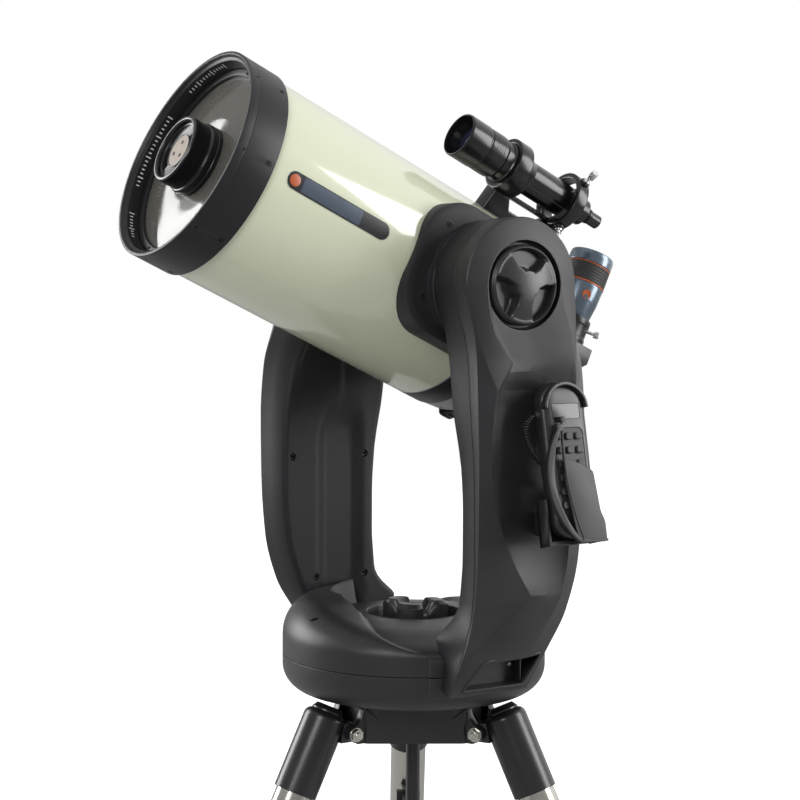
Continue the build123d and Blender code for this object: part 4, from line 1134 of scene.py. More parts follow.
def arm_cover(place, side, well):
    edges = [
        arm_loop(table_edge(SEAM_FRONT, 206.7), table_edge(SEAM_REAR, 206.7), 206.7, 84),
        arm_loop(table_edge(RIDGE_FRONT, RIDGE_FRONT_X), table_edge(RIDGE_REAR, RIDGE_REAR_X), 231, 84),
        arm_loop(band_point, table_edge(PANEL_REAR, PANEL_REAR_X), 232.6, 82.4),
        arm_loop(lip_front, lip_rear, 239, 57),
    ]
    back = inset(edges[0], 0.8, 206.1)
    shape = Shape(place)
    shape.grid([back, *edges[:3]], "cover", wrap=True)
    shape.grid(edges[2:], "cover", wrap=True)
    shape.cap(back, "cover")
    lip = edges[3]
    count = len(LEVELS)
    rows = []
    for i, level in enumerate(LEVELS):
        a, b = Vector(lip[count - 1 - i]), Vector(lip[count + HEAD_STEPS - 1 + i])
        row = [tuple(a)]
        for k in range(1, COLUMNS):
            s = k / COLUMNS
            point = a.lerp(b, s)
            if CREASE_LOW < level < CREASE_HIGH:
                rise = min(1.0, (CREASE_HIGH - level) / 34) * min(1.0, (level - CREASE_LOW) / 60)
                point.x -= 9.0 * rise * math.sin(math.pi * s) ** 0.6
            if level >= CREASE_HIGH:
                point.x -= 2.6 * step(-level, 0, 24) * (1 - step(s, 0.35, 0.95))
            if -505 < level < CREASE_LOW:
                rise = min(1.0, (CREASE_LOW - level) / 40)
                point.x += 7.5 * math.sin(math.pi * s) ** 0.7 * rise * step(level, -511, -475)
            row.append(tuple(point))
        row.append(tuple(b))
        rows.append(row)
    high, low = LEVELS.index(CREASE_HIGH), LEVELS.index(CREASE_LOW)
    shape.grid(rows[:high + 1], "cover")
    # The sunk panel takes the darker panel colour, which is painted shade.
    shape.grid(rows[high:low + 1], "panel")
    shape.grid(rows[low:], "cover")
    head = lip[count - 1:count + HEAD_STEPS]
    shape.cap(head + rows[0][1:-1][::-1], "cover")
    body = shape.build(f"{side}_cover_shell", "fork", "arm_cover", smooth=14, bevel=0.9, bevel_angle=13,
                       segments=2, replaces=[f"{side}_arm_cover"])
    cutters = []
    if well:
        knob_well = Shape(place)
        local = place.inverted() @ turned_frame(place, (0, 0, 0), (1, 0, 0), (0, 1, 0))
        knob_well.lathe([(0, 227.5), (52.5, 227.5), (55.2, 230), (55.8, 245), (0, 245)], "panel", local, 128)
        cutters.append(knob_well)
    skin = BVHTree.FromPolygons([v.co for v in body.data.vertices],
                                [tuple(f.vertices) for f in body.data.polygons])
    rim = []
    for grow, rise in ((0, -7), (0, 1.0), (0.5, 1.3), (2.4, 1.3), (3.0, 0.9), (3.4, -1.2)):
        loop = []
        for p in hold_outline(230, grow):
            near = place @ Vector((p.x + 60, p.y, p.z))
            far = place @ Vector((p.x - 60, p.y, p.z))
            hit = skin.ray_cast(near, far - near)[0]
            loop.append(((place.inverted() @ hit).x + rise if hit else p.x, p.y, p.z))
        rim.append(loop)
    frame_lip = Shape(place)
    frame_lip.grid(rim + rim[:1], "cover", wrap=True)
    frame_lip.build(f"{side}_hold_lip", "fork", "arm_cover", smooth=40)
    cutters.append(hold_pocket(place))
    carve(body, cutters, smooth=16)


def hold_outline(x, grow):
    """The hand hold's rounded outline at a distance out, grown by a margin."""
    middle = Vector((0, -9, -486))
    corners = []
    for y, z in HANDLE:
        away = Vector((0, y, z)) - middle
        corners.append((x, y + grow * 1.6 * math.copysign(1, away.y), z + grow * math.copysign(1, away.z)))
    return smooth_polygon(corners, 5.0 + grow, 5)


def hold_pocket(place):
    pocket = Shape(place)
    rows = [[tuple(p) for p in hold_outline(x, grow)] for x, grow in ((260, 0), (190, -1.5))]
    pocket.loft(rows, "panel")
    return pocket


def smooth_polygon(points, radius, steps):
    """A closed loop of 3-D points with its corners rounded."""
    result = []
    count = len(points)
    for i in range(count):
        corner = Vector(points[i])
        a, b = Vector(points[i - 1]) - corner, Vector(points[(i + 1) % count]) - corner
        reach = min(radius, 0.4 * a.length, 0.4 * b.length)
        start, end = corner + a.normalized() * reach, corner + b.normalized() * reach
        for k in range(steps + 1):
            t = k / steps
            result.append(start * (1 - t) ** 2 + corner * 2 * t * (1 - t) + end * t ** 2)
    return result


def clutch_knob():
    """The round altitude clutch knob: three finger pockets round a domed hub with three spokes."""
    shape = Shape(ARM_AXIS)
    rings = [4, 8, 12, 15, 17, 18.5, 20, 21.5, 23, 25, 27, 29, 31, 33, 35, 37, 39, 40.5, 42, 43, 44, 45, 46,
             47, 48, 48.8, 49.4, 49.8]
    count = 180
    spokes = (143, 263, 23)

    def height(r, angle):
        away = min(abs((angle - s + 180) % 360 - 180) for s in spokes)
        lateral = r * math.sin(math.radians(min(away, 90)))
        half = 9.5 + 5.5 * step(r, 24, 46)
        on_spoke = 1 - step(lateral, half, half + 5.5)
        inside = 1 - step(r, 16.5, 23.5)
        outside = step(r, 42.0, 46.0)
        solid = max(on_spoke, inside, outside)
        dome = 10.5 * (1 - (r / 52.0) ** 2) + 0.8
        rim_roll = -2.8 * step(r, 47.2, 49.8)
        floor = -6.5
        return 237 + floor + (dome + 1.2 * step(r, 42, 46) + rim_roll - floor) * solid

    rows = [ring(count, r, lambda angle: height(r, angle)) for r in rings]
    shape.grid(rows, "knob", wrap=True)
    shape.fan((0, 0, height(0, 0)), rows[0], "knob")
    skirt = [rows[-1], ring(count, 49.9, 228.4)]
    shape.grid(skirt, "knob", wrap=True)
    shape.cap(skirt[-1], "knob")
    shape.rod(7.9, 228.6, 193, "chrome", None, 32)
    shape.build("clutch_grip", "clutch_knob", "knob_plastic", smooth=50, replaces=["altitude_clutch_knob"])


def saddles():
    """The tube's two flank castings: a rounded plate with a round boss that meets the arm's bearing."""
    for side, sign in (("right", 1), ("left", -1)):
        shape = Shape(TUBE)
        flank = turned_frame(TUBE, (0, 0, 0), (sign, 0, 0), (0, 0, 1))
        local = TUBE.inverted() @ flank
        outline = rounded_box(210, 176, 62, 16)

        def ring_at(shrink, height):
            out = []
            for x, y in outline:
                r = math.hypot(x, y)
                out.append((x * (1 - shrink / r), y * (1 - shrink / r), height))
            return out

        rows = [ring_at(0, 92), ring_at(0, 139.5), ring_at(0.8, 141.6), ring_at(2.6, 142.6),
                ring_at(12, 143.4)]
        boss = []
        for r, h in ((82, 143.9), (80.4, 144.6), (79.6, 146), (79.6, 154), (78.6, 155.4), (60, 155.5),
                     (30, 155.5)):
            boss.append([(x / math.hypot(x, y) * r, y / math.hypot(x, y) * r, h) for x, y in outline])
        shape.grid(rows + boss, "arm", local, wrap=True)
        shape.cap(boss[-1], "arm", local)
        shape.cap(rows[0], "arm", local)
        plate = shape.build(f"{side}_saddle_casting", "tube", "saddle_paint", smooth=30,
                            replaces=["altitude_saddles"] if sign > 0 else ())
        cutter = Shape(TUBE)
        cutter.rod(134.6, -200, 200, "arm", None, 192)
        carve(plate, [cutter], smooth=30)
        screws = Shape(TUBE)
        for angle in (38, 142, 218, 322):
            x, y = polar(94, angle)
            socket_screw(screws, flank @ Matrix.Translation((x, y * 0.86, 144.9)), 3.6, "anodised")
        screws.build(f"{side}_saddle_screws", "tube", "saddle_paint")
        trunnion = Shape(TUBE)
        trunnion.tube(20, 39.9, 155, 179.5, 0.6, "gear", local, 96)
        trunnion.build(f"{side}_trunnion", "tube", "saddle_paint")


SCREWS_AT = ((99, -238), (-19, -238), (60, -410), (-20, -410))
for place, side in ((FORK, "right"), (FAR_FORK, "left")):
    arm_frame(place, side, SCREWS_AT)
    arm_cover(place, side, side == "right")
arm_screws()
clutch_knob()
saddles()


# ---------------------------------------------------------------- drive base

SEAM_Z = -494
BASE_LOW = -545
BASE_R = 178.0
# Round half of the base, in degrees from one arm's axis: where the raised shoulder ends towards the
# well, and how high its crown stands.
SHOULDER_EDGE = ((0, 152), (20, 128), (46, 109), (64, 93), (95, 91), (110, 108), (124, 137), (133, 156),
                 (141, 168),
                 (152, 174), (180, 176))
SHOULDER_CROWN = ((0, -417), (60, -416), (80, -420), (95, -429), (110, -436), (124, -442), (133, -449),
                  (141, -457),
                  (152, -464), (180, -469))
RIM_Z = -469


def land_height(r):
    return curve_through(((0, -440), (75, -440), (110, -443), (150, -453.5), (168, -460), (175.5, -464.5),
                          (178, -469)), r)


def base_height(r, angle):
    """Height of the base's top: low land round the well, and a raised shoulder before each foot."""
    turn = angle % 180
    edge = curve_through(SHOULDER_EDGE, turn)
    crown = curve_through(SHOULDER_CROWN, turn)
    land = land_height(r)
    bend = max(130.0, edge)
    over = min(1.0, max(0.0, (r - bend) / (BASE_R - bend)))
    shoulder = RIM_Z + (crown - RIM_Z) * math.sqrt(1 - over ** 2)
    shoulder = max(shoulder, land)
    return land + (shoulder - land) * step(r, edge - 7, edge + 5)


def base_upper():
    shape = Shape(FORK)
    count = 300
    radii = [66.0] + [68 + 2.75 * i for i in range(32)] + [156.5, 159.5, 162.5, 165.5, 168.2, 170.6, 172.7,
                                                           174.4, 175.8, 176.9, 177.6, 178.0]
    rows = [ring(count, r, lambda angle: base_height(r, angle)) for r in radii]
    side = ((BASE_R, -480), (BASE_R, SEAM_Z + 0.9), (177.4, SEAM_Z + 0.3), (176.4, SEAM_Z + 0.3),
            (61.8, SEAM_Z + 0.3))
    rows += [ring(count, r, z) for r, z in side]
    inner = [ring(count, r, z) for r, z in ((63.2, -478), (63.2, -441.6), (64, -439.6), (65, -439.1))]
    shape.grid(inner + rows + inner[:1], "base", wrap=True)
    body = shape.build("upper_housing", "fork", "base_housing", smooth=24, replaces=["base_upper_housing"])
    slot = Shape(FORK)
    facing = turned_frame(Matrix.Identity(4), (4, -159.4, -435.5), (0.015, -0.595, 0.80), (0.7, 0.6, 0.45))
    slot.rod(2.6, -9, 8, "base", facing @ Matrix.Diagonal((2.3, 1, 1, 1)), 36)
    carve(body, [slot], smooth=24)
    floor = Shape(FORK)
    floor.lathe(rounded([(12, -469), (63, -469), (63, -465), (13, -465), (12, -467)], 0.5), "base", None, 120)
    floor.build("well_floor", "fork", "base_housing")
    screw = Shape(FORK)
    socket_screw(screw, FORK @ facing @ Matrix.Translation((0, 0, -5)), 2.2, "steel")
    screw.build("housing_screw", "fork", "base_housing")


def base_lower():
    shape = Shape(FORK)
    outer = [(110, BASE_LOW + 1), (141, BASE_LOW + 1)]
    for i in range(13):
        x, y = polar(1.0, -90 + 90 * i / 12)
        outer.append((141 + 37 * x, BASE_LOW + 37 + 36 * y))
    outer += [(178, SEAM_Z - 1.1), (177.4, SEAM_Z - 0.4), (174.2, SEAM_Z - 0.4), (174.2, BASE_LOW + 38)]
    for i in range(1, 9):
        x, y = polar(1.0, -90 * i / 8)
        outer.append((141 + 33 * x, BASE_LOW + 38 + 32.4 * y))
    outer += [(110, BASE_LOW + 5.6)]
    shape.lathe(outer, "base", None, 256)
    body = shape.build("lower_housing", "fork", "base_housing", smooth=24, replaces=["base_lower_housing"])
    gap = Shape(FORK)
    gap.prism([(-36.2, 146), (36.2, 146), (36.2, 190), (-36.2, 190)], -516.2, -480, "base")
    carve(body, [gap], smooth=24)
    bezel = Shape(FORK)
    face = turned_frame(Matrix.Identity(4), (0, 172, -505), (0, 1, 0), (1, 0, 0))
    frame_outer = rounded_box(70, 20, 2.5, 5)
    frame_inner = rounded_box(66.4, 16.4, 1.6, 5)
    lip_rows = [[(x, y, h) for x, y in outline]
                for outline, h in ((frame_outer, 0.02), (frame_outer, 1.1), (frame_inner, 1.1),
                                   (frame_inner, 0.02), (frame_outer, 0.02))]
    bezel.grid(lip_rows, "panel", face, wrap=True)
    bezel.build("panel_bezel", "fork", "panel_plastic")


def foot_cowls():
    """The raised land on the base that each foot's inner corner sits behind."""
    for place, side in ((FORK, "right"), (FAR_FORK, "left")):
        cowl = Shape(place)
        plan = [(146, -87.5), (160.0, -83.6), (170.5, -63), (150, -60)]
        cowl.prism(plan, SEAM_Z + 0.3, -469.5, "base")
        cowl.prism([(x * 0.995, y * 0.995) for x, y in plan], -522, SEAM_Z - 0.4, "base")
        cowl.build(f"{side}_foot_cowl", "fork", "base_housing", bevel=1.4, bevel_angle=40, segments=3)


def base_lock_knob():
    """Three tall lobes round a dished middle."""
    shape = Shape(FORK)
    count = 180
    lobes = (316, 76, 196)

    def reach(angle):
        low = 0.5 + 0.5 * math.cos(math.radians(3 * (angle - lobes[0])))
        return 21.5 + 25 * step(low, 0.0, 0.9)

    def crown(fraction, angle):
        low = 0.5 + 0.5 * math.cos(math.radians(3 * (angle - lobes[0])))
        r = fraction * reach(angle)
        return -440 + 15.5 * step(r, 11, 25) * step(low, 0.03, 0.5) - 5.5 * step(fraction, 0.78, 1.0) ** 1.6

    rows = []
    for fraction in (0.12, 0.25, 0.36, 0.46, 0.55, 0.63, 0.7, 0.77, 0.83, 0.88, 0.92, 0.955, 0.98, 1.0):
        rows.append(ring(count, lambda angle: fraction * reach(angle), lambda angle: crown(fraction, angle)))
    for grow, z in ((1.012, -448), (1.012, -461.5), (0.99, -463)):
        rows.append(ring(count, lambda angle: grow * reach(angle), z))
    shape.grid(rows, "knob", wrap=True)
    shape.fan((0, 0, crown(0, 0)), rows[0], "knob")
    shape.cap(rows[-1], "knob")
    shape.rod(11.6, -468, -462.5, "knob", None, 40)
    shape.build("lock_grip", "azimuth_knob", "knob_plastic", smooth=40, replaces=["azimuth_lock_knob"])


# ---------------------------------------------------------------- tripod

LEG_AXIS_R = 146.5
LEG_PIVOT_R = 112.0
LEG_LENGTH = PIVOT_Z / math.cos(SPLAY)
EXTENSION_R = 22.2
HEAD_TOP = ALT_Z + BASE_LOW - 0.2


def leg_frame(angle):
    ux, uy = polar(1.0, angle)
    s, c = math.sin(SPLAY), math.cos(SPLAY)
    return turned_frame(GROUND, (LEG_AXIS_R * ux, LEG_AXIS_R * uy, PIVOT_Z), (-s * ux, -s * uy, c),
                        (-uy, ux, 0))


def pivot_frame(angle):
    """z along the pivot bolt, x outwards, y up."""
    ux, uy = polar(1.0, angle)
    return turned_frame(GROUND, (LEG_PIVOT_R * ux, LEG_PIVOT_R * uy, PIVOT_Z), (uy, -ux, 0), (ux, uy, 0))


def head_outline(reach, half, z):
    corners = []
    for angle in LEG_ANGLES:
        ux, uy = polar(1.0, angle)
        for side in (-half, half):
            corners.append((reach * ux - side * uy, reach * uy + side * ux, z))
    return corners


def tripod_head():
    low, plate = PIVOT_Z - 13, HEAD_TOP - 10
    shape = Shape(GROUND)
    outline = [(p.x, p.y) for p in smooth_polygon(head_outline(100, 40, 0), 6, 5)]
    shape.prism(outline, low, HEAD_TOP, "stand")
    body = shape.build("head_casting", "stand", "stand_casting", smooth=24, replaces=["tripod_head"])
    cutters = []
    hollow = Shape(GROUND)
    hollow.prism([(p.x, p.y) for p in smooth_polygon(head_outline(91, 36, 0), 5, 4)], low - 4, plate, "stand")
    cutters.append(hollow)
    for angle in LEG_ANGLES:
        slot = Shape(GROUND)
        spoke = Matrix.Rotation(math.radians(angle), 4, "Z")
        slot.prism([(92, -24), (150, -24), (150, 24), (92, 24)], low - 5, HEAD_TOP + 3, "stand", spoke)
        cutters.append(slot)
        hole = Shape(GROUND)
        x, y = polar(60, angle + 60)
        hole.rod(5.2, low - 9, HEAD_TOP + 4, "stand", Matrix.Translation((x, y, 0)), 32)
        cutters.append(hole)
    carve(body, cutters, smooth=24)
    parts = Shape(GROUND)
    hub = [(0, low - 2), (33, low - 2), (34, low - 1), (34, plate + 0.5), (0, plate + 0.5)]
    parts.lathe(hub, "stand", None, 72)
    high = plate - PIVOT_Z
    for angle in LEG_ANGLES:
        side = GROUND.inverted() @ pivot_frame(angle)
        outline = [(-26, -13), (-3, -13)]
        outline += [(10.5 * math.sin(math.radians(a)), -10.5 * math.cos(math.radians(a))) for a in range(20,
                                                                                                         140,
                                                                                                         12)]
        outline += [(-3, 13), (-9, 22), (-13, high), (-26, high)]
        for a, b in ((24, 38), (-38, -24)):
            parts.prism(outline, a, b, "stand", side)
        spoke = Matrix.Rotation(math.radians(angle), 4, "Z")
        parts.prism([(30, -3), (90, -3), (90, 3), (30, 3)], low + 3, plate + 0.5, "stand", spoke)
    parts.build("head_cheeks", "stand", "stand_casting", bevel=1.2, bevel_angle=35, segments=3)
    ribs = Shape(GROUND)
    for angle in LEG_ANGLES:
        middle = angle + 60
        ux, uy = polar(1.0, middle)
        apart = 100 * 0.5 + 40 * math.sqrt(0.75)
        web = GROUND.inverted() @ turned_frame(GROUND, (apart * ux, apart * uy, PIVOT_Z), (ux, uy, 0),
                                             (-uy, ux, 0))
        for mirror in (1, -1):
            rib = [(78, 41.5), (74.5, 41.5), (49, 20), (51, 18)]
            rib = [(x * mirror, y) for x, y in rib]
            ribs.prism(rib, -1, 2.2, "stand", web)
            gusset = [(66, 43), (36, 43), (52, 25)]
            ribs.prism([(x * mirror, y) for x, y in gusset], -1, 0.9, "stand", web)
    ribs.build("head_ribs", "stand", "stand_casting", bevel=0.5, bevel_angle=35, segments=2)


def hex_nut(shape, local, r, low, high, look):
    outline = [polar(r, 60 * i + 30) for i in range(6)]
    trimmed = [polar(r * 0.93, 60 * i + 30) for i in range(6)]
    rows = [[(x, y, h) for x, y in pts] for pts, h in ((trimmed, low), (outline, low + 0.9),
                                                       (outline, high - 0.9), (trimmed, high))]
    shape.loft(rows, look, local)


def stand_fasteners():
    shape = Shape(GROUND)
    for angle in LEG_ANGLES:
        side = GROUND.inverted() @ pivot_frame(angle)
        shape.lathe([(0, -46), (4, -46), (4.8, -45), (4.8, 45), (4, 46), (0, 46)], "steel", side, 36)
        for a, b in ((-44.2, -38.9), (38.9, 44.2)):
            hex_nut(shape, side, 8.7, a, b, "steel")
        for a, b in ((-39.0, -38.1), (38.1, 39.0)):
            shape.tube(4.9, 9.6, a, b, 0.3, "steel", side, 40)
        x, y = polar(60, angle + 60)
        local = Matrix.Translation((x, y, HEAD_TOP - 10))
        hex_nut(shape, local, 8, -7, -0.2, "steel")
        shape.lathe([(0, -0.3), (5, -0.3), (5, 16.6), (4.2, 17.4), (0, 17.4)], "steel", local, 32)
    shape.build("stand_fasteners", "stand", "steel_bolt", smooth=28, replaces=["stand_bolts"])


def leg_castings(number, angle):
    local = GROUND.inverted() @ leg_frame(angle)
    socket = Shape(GROUND)
    profile = [(25.6, -84), (28.3, -84), (29, -83.2), (29, 17)]
    profile += [(29 - 6 + 6 * math.cos(math.radians(a)), 18 + 8.5 * math.sin(math.radians(a))) for a in (0,
                                                                                                         15,
                                                                                                         30,
                                                                                                         45,
                                                                                                         60)]
    profile += [(24.6, 27), (22.6, 27.6), (21.6, 28.6), (21.6, 30.6), (20.6, 31.6), (17.4, 36.4), (16.6, 37),
                (0, 37)]
    socket.lathe(profile + [(0, 24.4), (25.6, 24.4)], "stand", local, 96)
    side = GROUND.inverted() @ pivot_frame(angle)
    lug = [(13 * math.cos(math.radians(a)), 13 * math.sin(math.radians(a))) for a in range(90, 271, 12)]
    lug += [(15, -13), (9, 13)]
    socket.prism(lug, -23.6, 23.6, "stand", side)
    socket.build(f"leg_{number}_socket", f"leg_{number}", "stand_casting", smooth=30, bevel=0.8,
                 bevel_angle=50, segments=2, replaces=[f"leg_{number}_castings"])
    collar = Shape(GROUND)
    ring = [(25.6, -638), (29.5, -638), (30.5, -639.5), (30.5, -646), (29.9, -646.8), (29.9, -649),
            (30.5, -649.8),
            (30.5, -671), (28.5, -674), (28.5, -698.5), (27.6, -700), (22.7, -700), (22.7, -673),
            (25.6, -672)]
    collar.lathe(ring, "stand", local, 96)
    boss = local @ Matrix.Translation((0, 0, -686)) @ Matrix.Rotation(math.radians(90), 4, "X")
    collar.lathe([(5.1, 27), (11, 27), (11, 39.2), (10.2, 40), (5.1, 40)], "stand", boss, 48)
    collar.build(f"leg_{number}_collar", f"leg_{number}", "stand_casting", smooth=30)
    knob = Shape(GROUND)
    grip_knob(knob, boss, 17, 40.6, 54, "knob", lobes=6, depth=3.0)
    knob.rod(4.9, 23.2, 41, "steel", boss, 28)
    knob.build(f"leg_{number}_grip", f"leg_{number}_knob", "knob_plastic", smooth=40,
               replaces=[f"leg_{number}_clamp_knob"])


def leg_extension(number, angle):
    """The inner tube with its plain rings, and the rubber foot, cut flat where it stands."""
    local = GROUND.inverted() @ leg_frame(angle)
    inner = Shape(GROUND)
    inner.tube(EXTENSION_R - 2, EXTENSION_R, 24 - LEG_LENGTH, -260, 0.4, "steel", local, 96)
    for height in range(-690, -300, 40):
        inner.tube(EXTENSION_R - 1.2, EXTENSION_R + 0.08, height - 0.5, height + 0.5, 0.05, "anodised",
                    local, 96)
    inner.build(f"leg_{number}_inner_tube", f"leg_{number}_lower", "steel_tube", smooth=40,
                replaces=[f"leg_{number}_extension"])
    shoe = Shape(GROUND)
    tread = [(0, -12), (24, -12), (24, 3), (23.2, 4.5), (24, 6), (23.2, 7.5), (23.9, 9), (22.6, 15),
             (22.2, 21), (21.4, 22), (0, 22)]
    shoe.lathe([(r, h - LEG_LENGTH) for r, h in tread], "rubber", local, 96)
    foot = shoe.build(f"leg_{number}_shoe", f"leg_{number}_lower", "eyecup_rubber", smooth=40)
    ground = Shape(GROUND)
    ground.prism([(-900, -900), (900, -900), (900, 900), (-900, 900)], -120, 0, "rubber")
    carve(foot, [ground], smooth=40)


base_upper()
base_lower()
foot_cowls()
base_lock_knob()
tripod_head()
stand_fasteners()
for number, angle in enumerate(LEG_ANGLES, start=1):
    leg_castings(number, angle)
    leg_extension(number, angle)


# ---------------------------------------------------------------- hand control

HAND = turned_frame(FORK, (255, 43, -218), (1, 0, 0.2), (0, 1, 0))
HAND_W, HAND_L, HAND_T = 68.0, 194.0, 25.0
KEYS_Y = -14.0
# The cord's route from the hand control's gland to the plug, in metres.
CORD_ROUTE = ((0.254, 0.006, 1.140), (0.251, -0.008, 1.136), (0.247, -0.002, 1.110), (0.244, 0.016, 1.088),
              (0.243, 0.038, 1.070), (0.242, 0.054, 1.046))
CORD_R = 4.0
WIRE_R = 1.1
CORD_PITCH = 2.9


def handset_section(y):
    """Half width and thickness of the hand control at a distance along it."""
    end = max(0.0, (abs(y) - (HAND_L / 2 - 26)) / 26)
    half = 33.9 - 2.4 * math.exp(-((y + 62) / 30) ** 2)
    half = half * math.sqrt(max(0.0, 1 - end ** 2.4)) if end < 1 else 0.0
    return max(half, 9.0), 24.8 - 5.0 * end ** 3


def handset_shell():
    shape = Shape(HAND)
    rows = []
    count = 64
    stations = [-97, -96.2, -94.5, -92, -88, -83, -77, -70] + [-62 + 8 * i for i in range(16)]
    stations += [66, 70, 77, 83, 88, 92, 94.5, 96.2, 97]
    for y in stations:
        half, thick = handset_section(y)
        row = []
        for i in range(count):
            c, s = polar(1.0, 360 * i / count)
            x = half * math.copysign(abs(c) ** 0.42, c)
            z = thick / 2 + thick / 2 * math.copysign(abs(s) ** 0.5, s)
            row.append((x, y, z))
        rows.append(row)
    shape.loft(rows, "handset")
    body = shape.build("handset_body", "fork", "handset_plastic", smooth=40, replaces=["handset_shell"])
    recess = Shape(HAND)
    recess.prism([(x, y + KEYS_Y) for x, y in rounded_box(48, 108, 8, 6)], HAND_T - 5.2, HAND_T + 6,
                 "handset")
    window = Shape(HAND)
    window.prism([(x, y + 60) for x, y in rounded_box(44, 20, 3, 5)], HAND_T - 2.2, HAND_T + 6, "handset")
    carve(body, [recess, window], smooth=40)
    glass = Shape(HAND)
    glass.prism([(x, y + 60) for x, y in rounded_box(43.4, 19.4, 2.8, 5)], HAND_T - 2.1, HAND_T - 1.0,
                "badge_edge")
    glass.build("handset_window", "fork", "handset_plastic", bevel=0.3, bevel_angle=40)
    hood = Shape(HAND)
    outer, inner = [], []
    for i in range(25):
        c, s = polar(1.0, 180 * i / 24)
        outer.append((33.6 * c, 64 + 32.6 * s))
        inner.append((29.4 * c, 64 + 28.0 * s))
    rim = outer + inner[::-1]
    hood.prism(rim, HAND_T - 7, HAND_T + 4.2, "handset")
    hood.build("handset_hood", "fork", "handset_plastic", bevel=1.2, bevel_angle=35, segments=3)
    gland = Shape(FORK)
    start = cord_frame(CORD_ROUTE[0], CORD_ROUTE[1])
    profile = [(0, -8), (5.4, -8), (5.4, -5.4), (4.9, -5.0), (5.2, -4.0), (4.7, -3.2), (5.0, -2.2),
               (4.5, -1.2), (4.6, 0), (0, 0)]
    gland.lathe(profile, "rubber", FORK.inverted() @ start, 40)
    gland.build("cord_gland", "fork", "handset_plastic", smooth=40)


def cord_frame(here, onward):
    """A frame at a point of the route, with its z axis towards another."""
    run = Vector(onward) - Vector(here)
    hint = (0, 0, 1) if abs(run.normalized().z) < 0.9 else (0, 1, 0)
    return turned_frame(GROUND, [1000 * v for v in here], run, hint)


def handset_keys():
    pad = Shape(HAND)
    pad.prism([(x, y + KEYS_Y) for x, y in rounded_box(46.6, 106.6, 7.8, 6)], HAND_T - 3.0, HAND_T - 1.4,
              "keys")
    for row in range(6):
        for column in range(3):
            spot = Matrix.Translation(((column - 1) * 15, KEYS_Y - 42 + row * 17, 0))
            outline = rounded_box(11, 9, 3, 5)
            rows = []
            for shrink, height in ((0, HAND_T - 1.5), (0.1, HAND_T + 1.2), (0.5, HAND_T + 2.0),
                                   (1.6, HAND_T + 2.3),
                                   (3.4, HAND_T + 2.1)):
                rows.append([(x * (1 - shrink / 5.5), y * (1 - shrink / 5.5), height) for x, y in outline])
            pad.loft(rows, "keys", spot)
    pad.build("keypad_mat", "keypad", "key_rubber", smooth=30, replaces=["handset_keypad"])


def arc_through(a, b, c, count):
    """Points on the circle through three points, from the first to the last."""
    ax, ay, bx, by, cx, cy = *a, *b, *c
    d = 2 * (ax * (by - cy) + bx * (cy - ay) + cx * (ay - by))
    ux = ((ax**2 + ay**2) * (by - cy) + (bx**2 + by**2) * (cy - ay) + (cx**2 + cy**2) * (ay - by)) / d
    uy = ((ax**2 + ay**2) * (cx - bx) + (bx**2 + by**2) * (ax - cx) + (cx**2 + cy**2) * (bx - ax)) / d
    r = math.hypot(ax - ux, ay - uy)
    start, middle, end = (math.atan2(y - uy, x - ux) for x, y in (a, b, c))
    sweep = (end - start) % (2 * math.pi)
    if (middle - start) % (2 * math.pi) > sweep:
        sweep -= 2 * math.pi
    return [(ux + r * math.cos(start + sweep * i / count), uy + r * math.sin(start + sweep * i / count))
            for i in range(count + 1)]


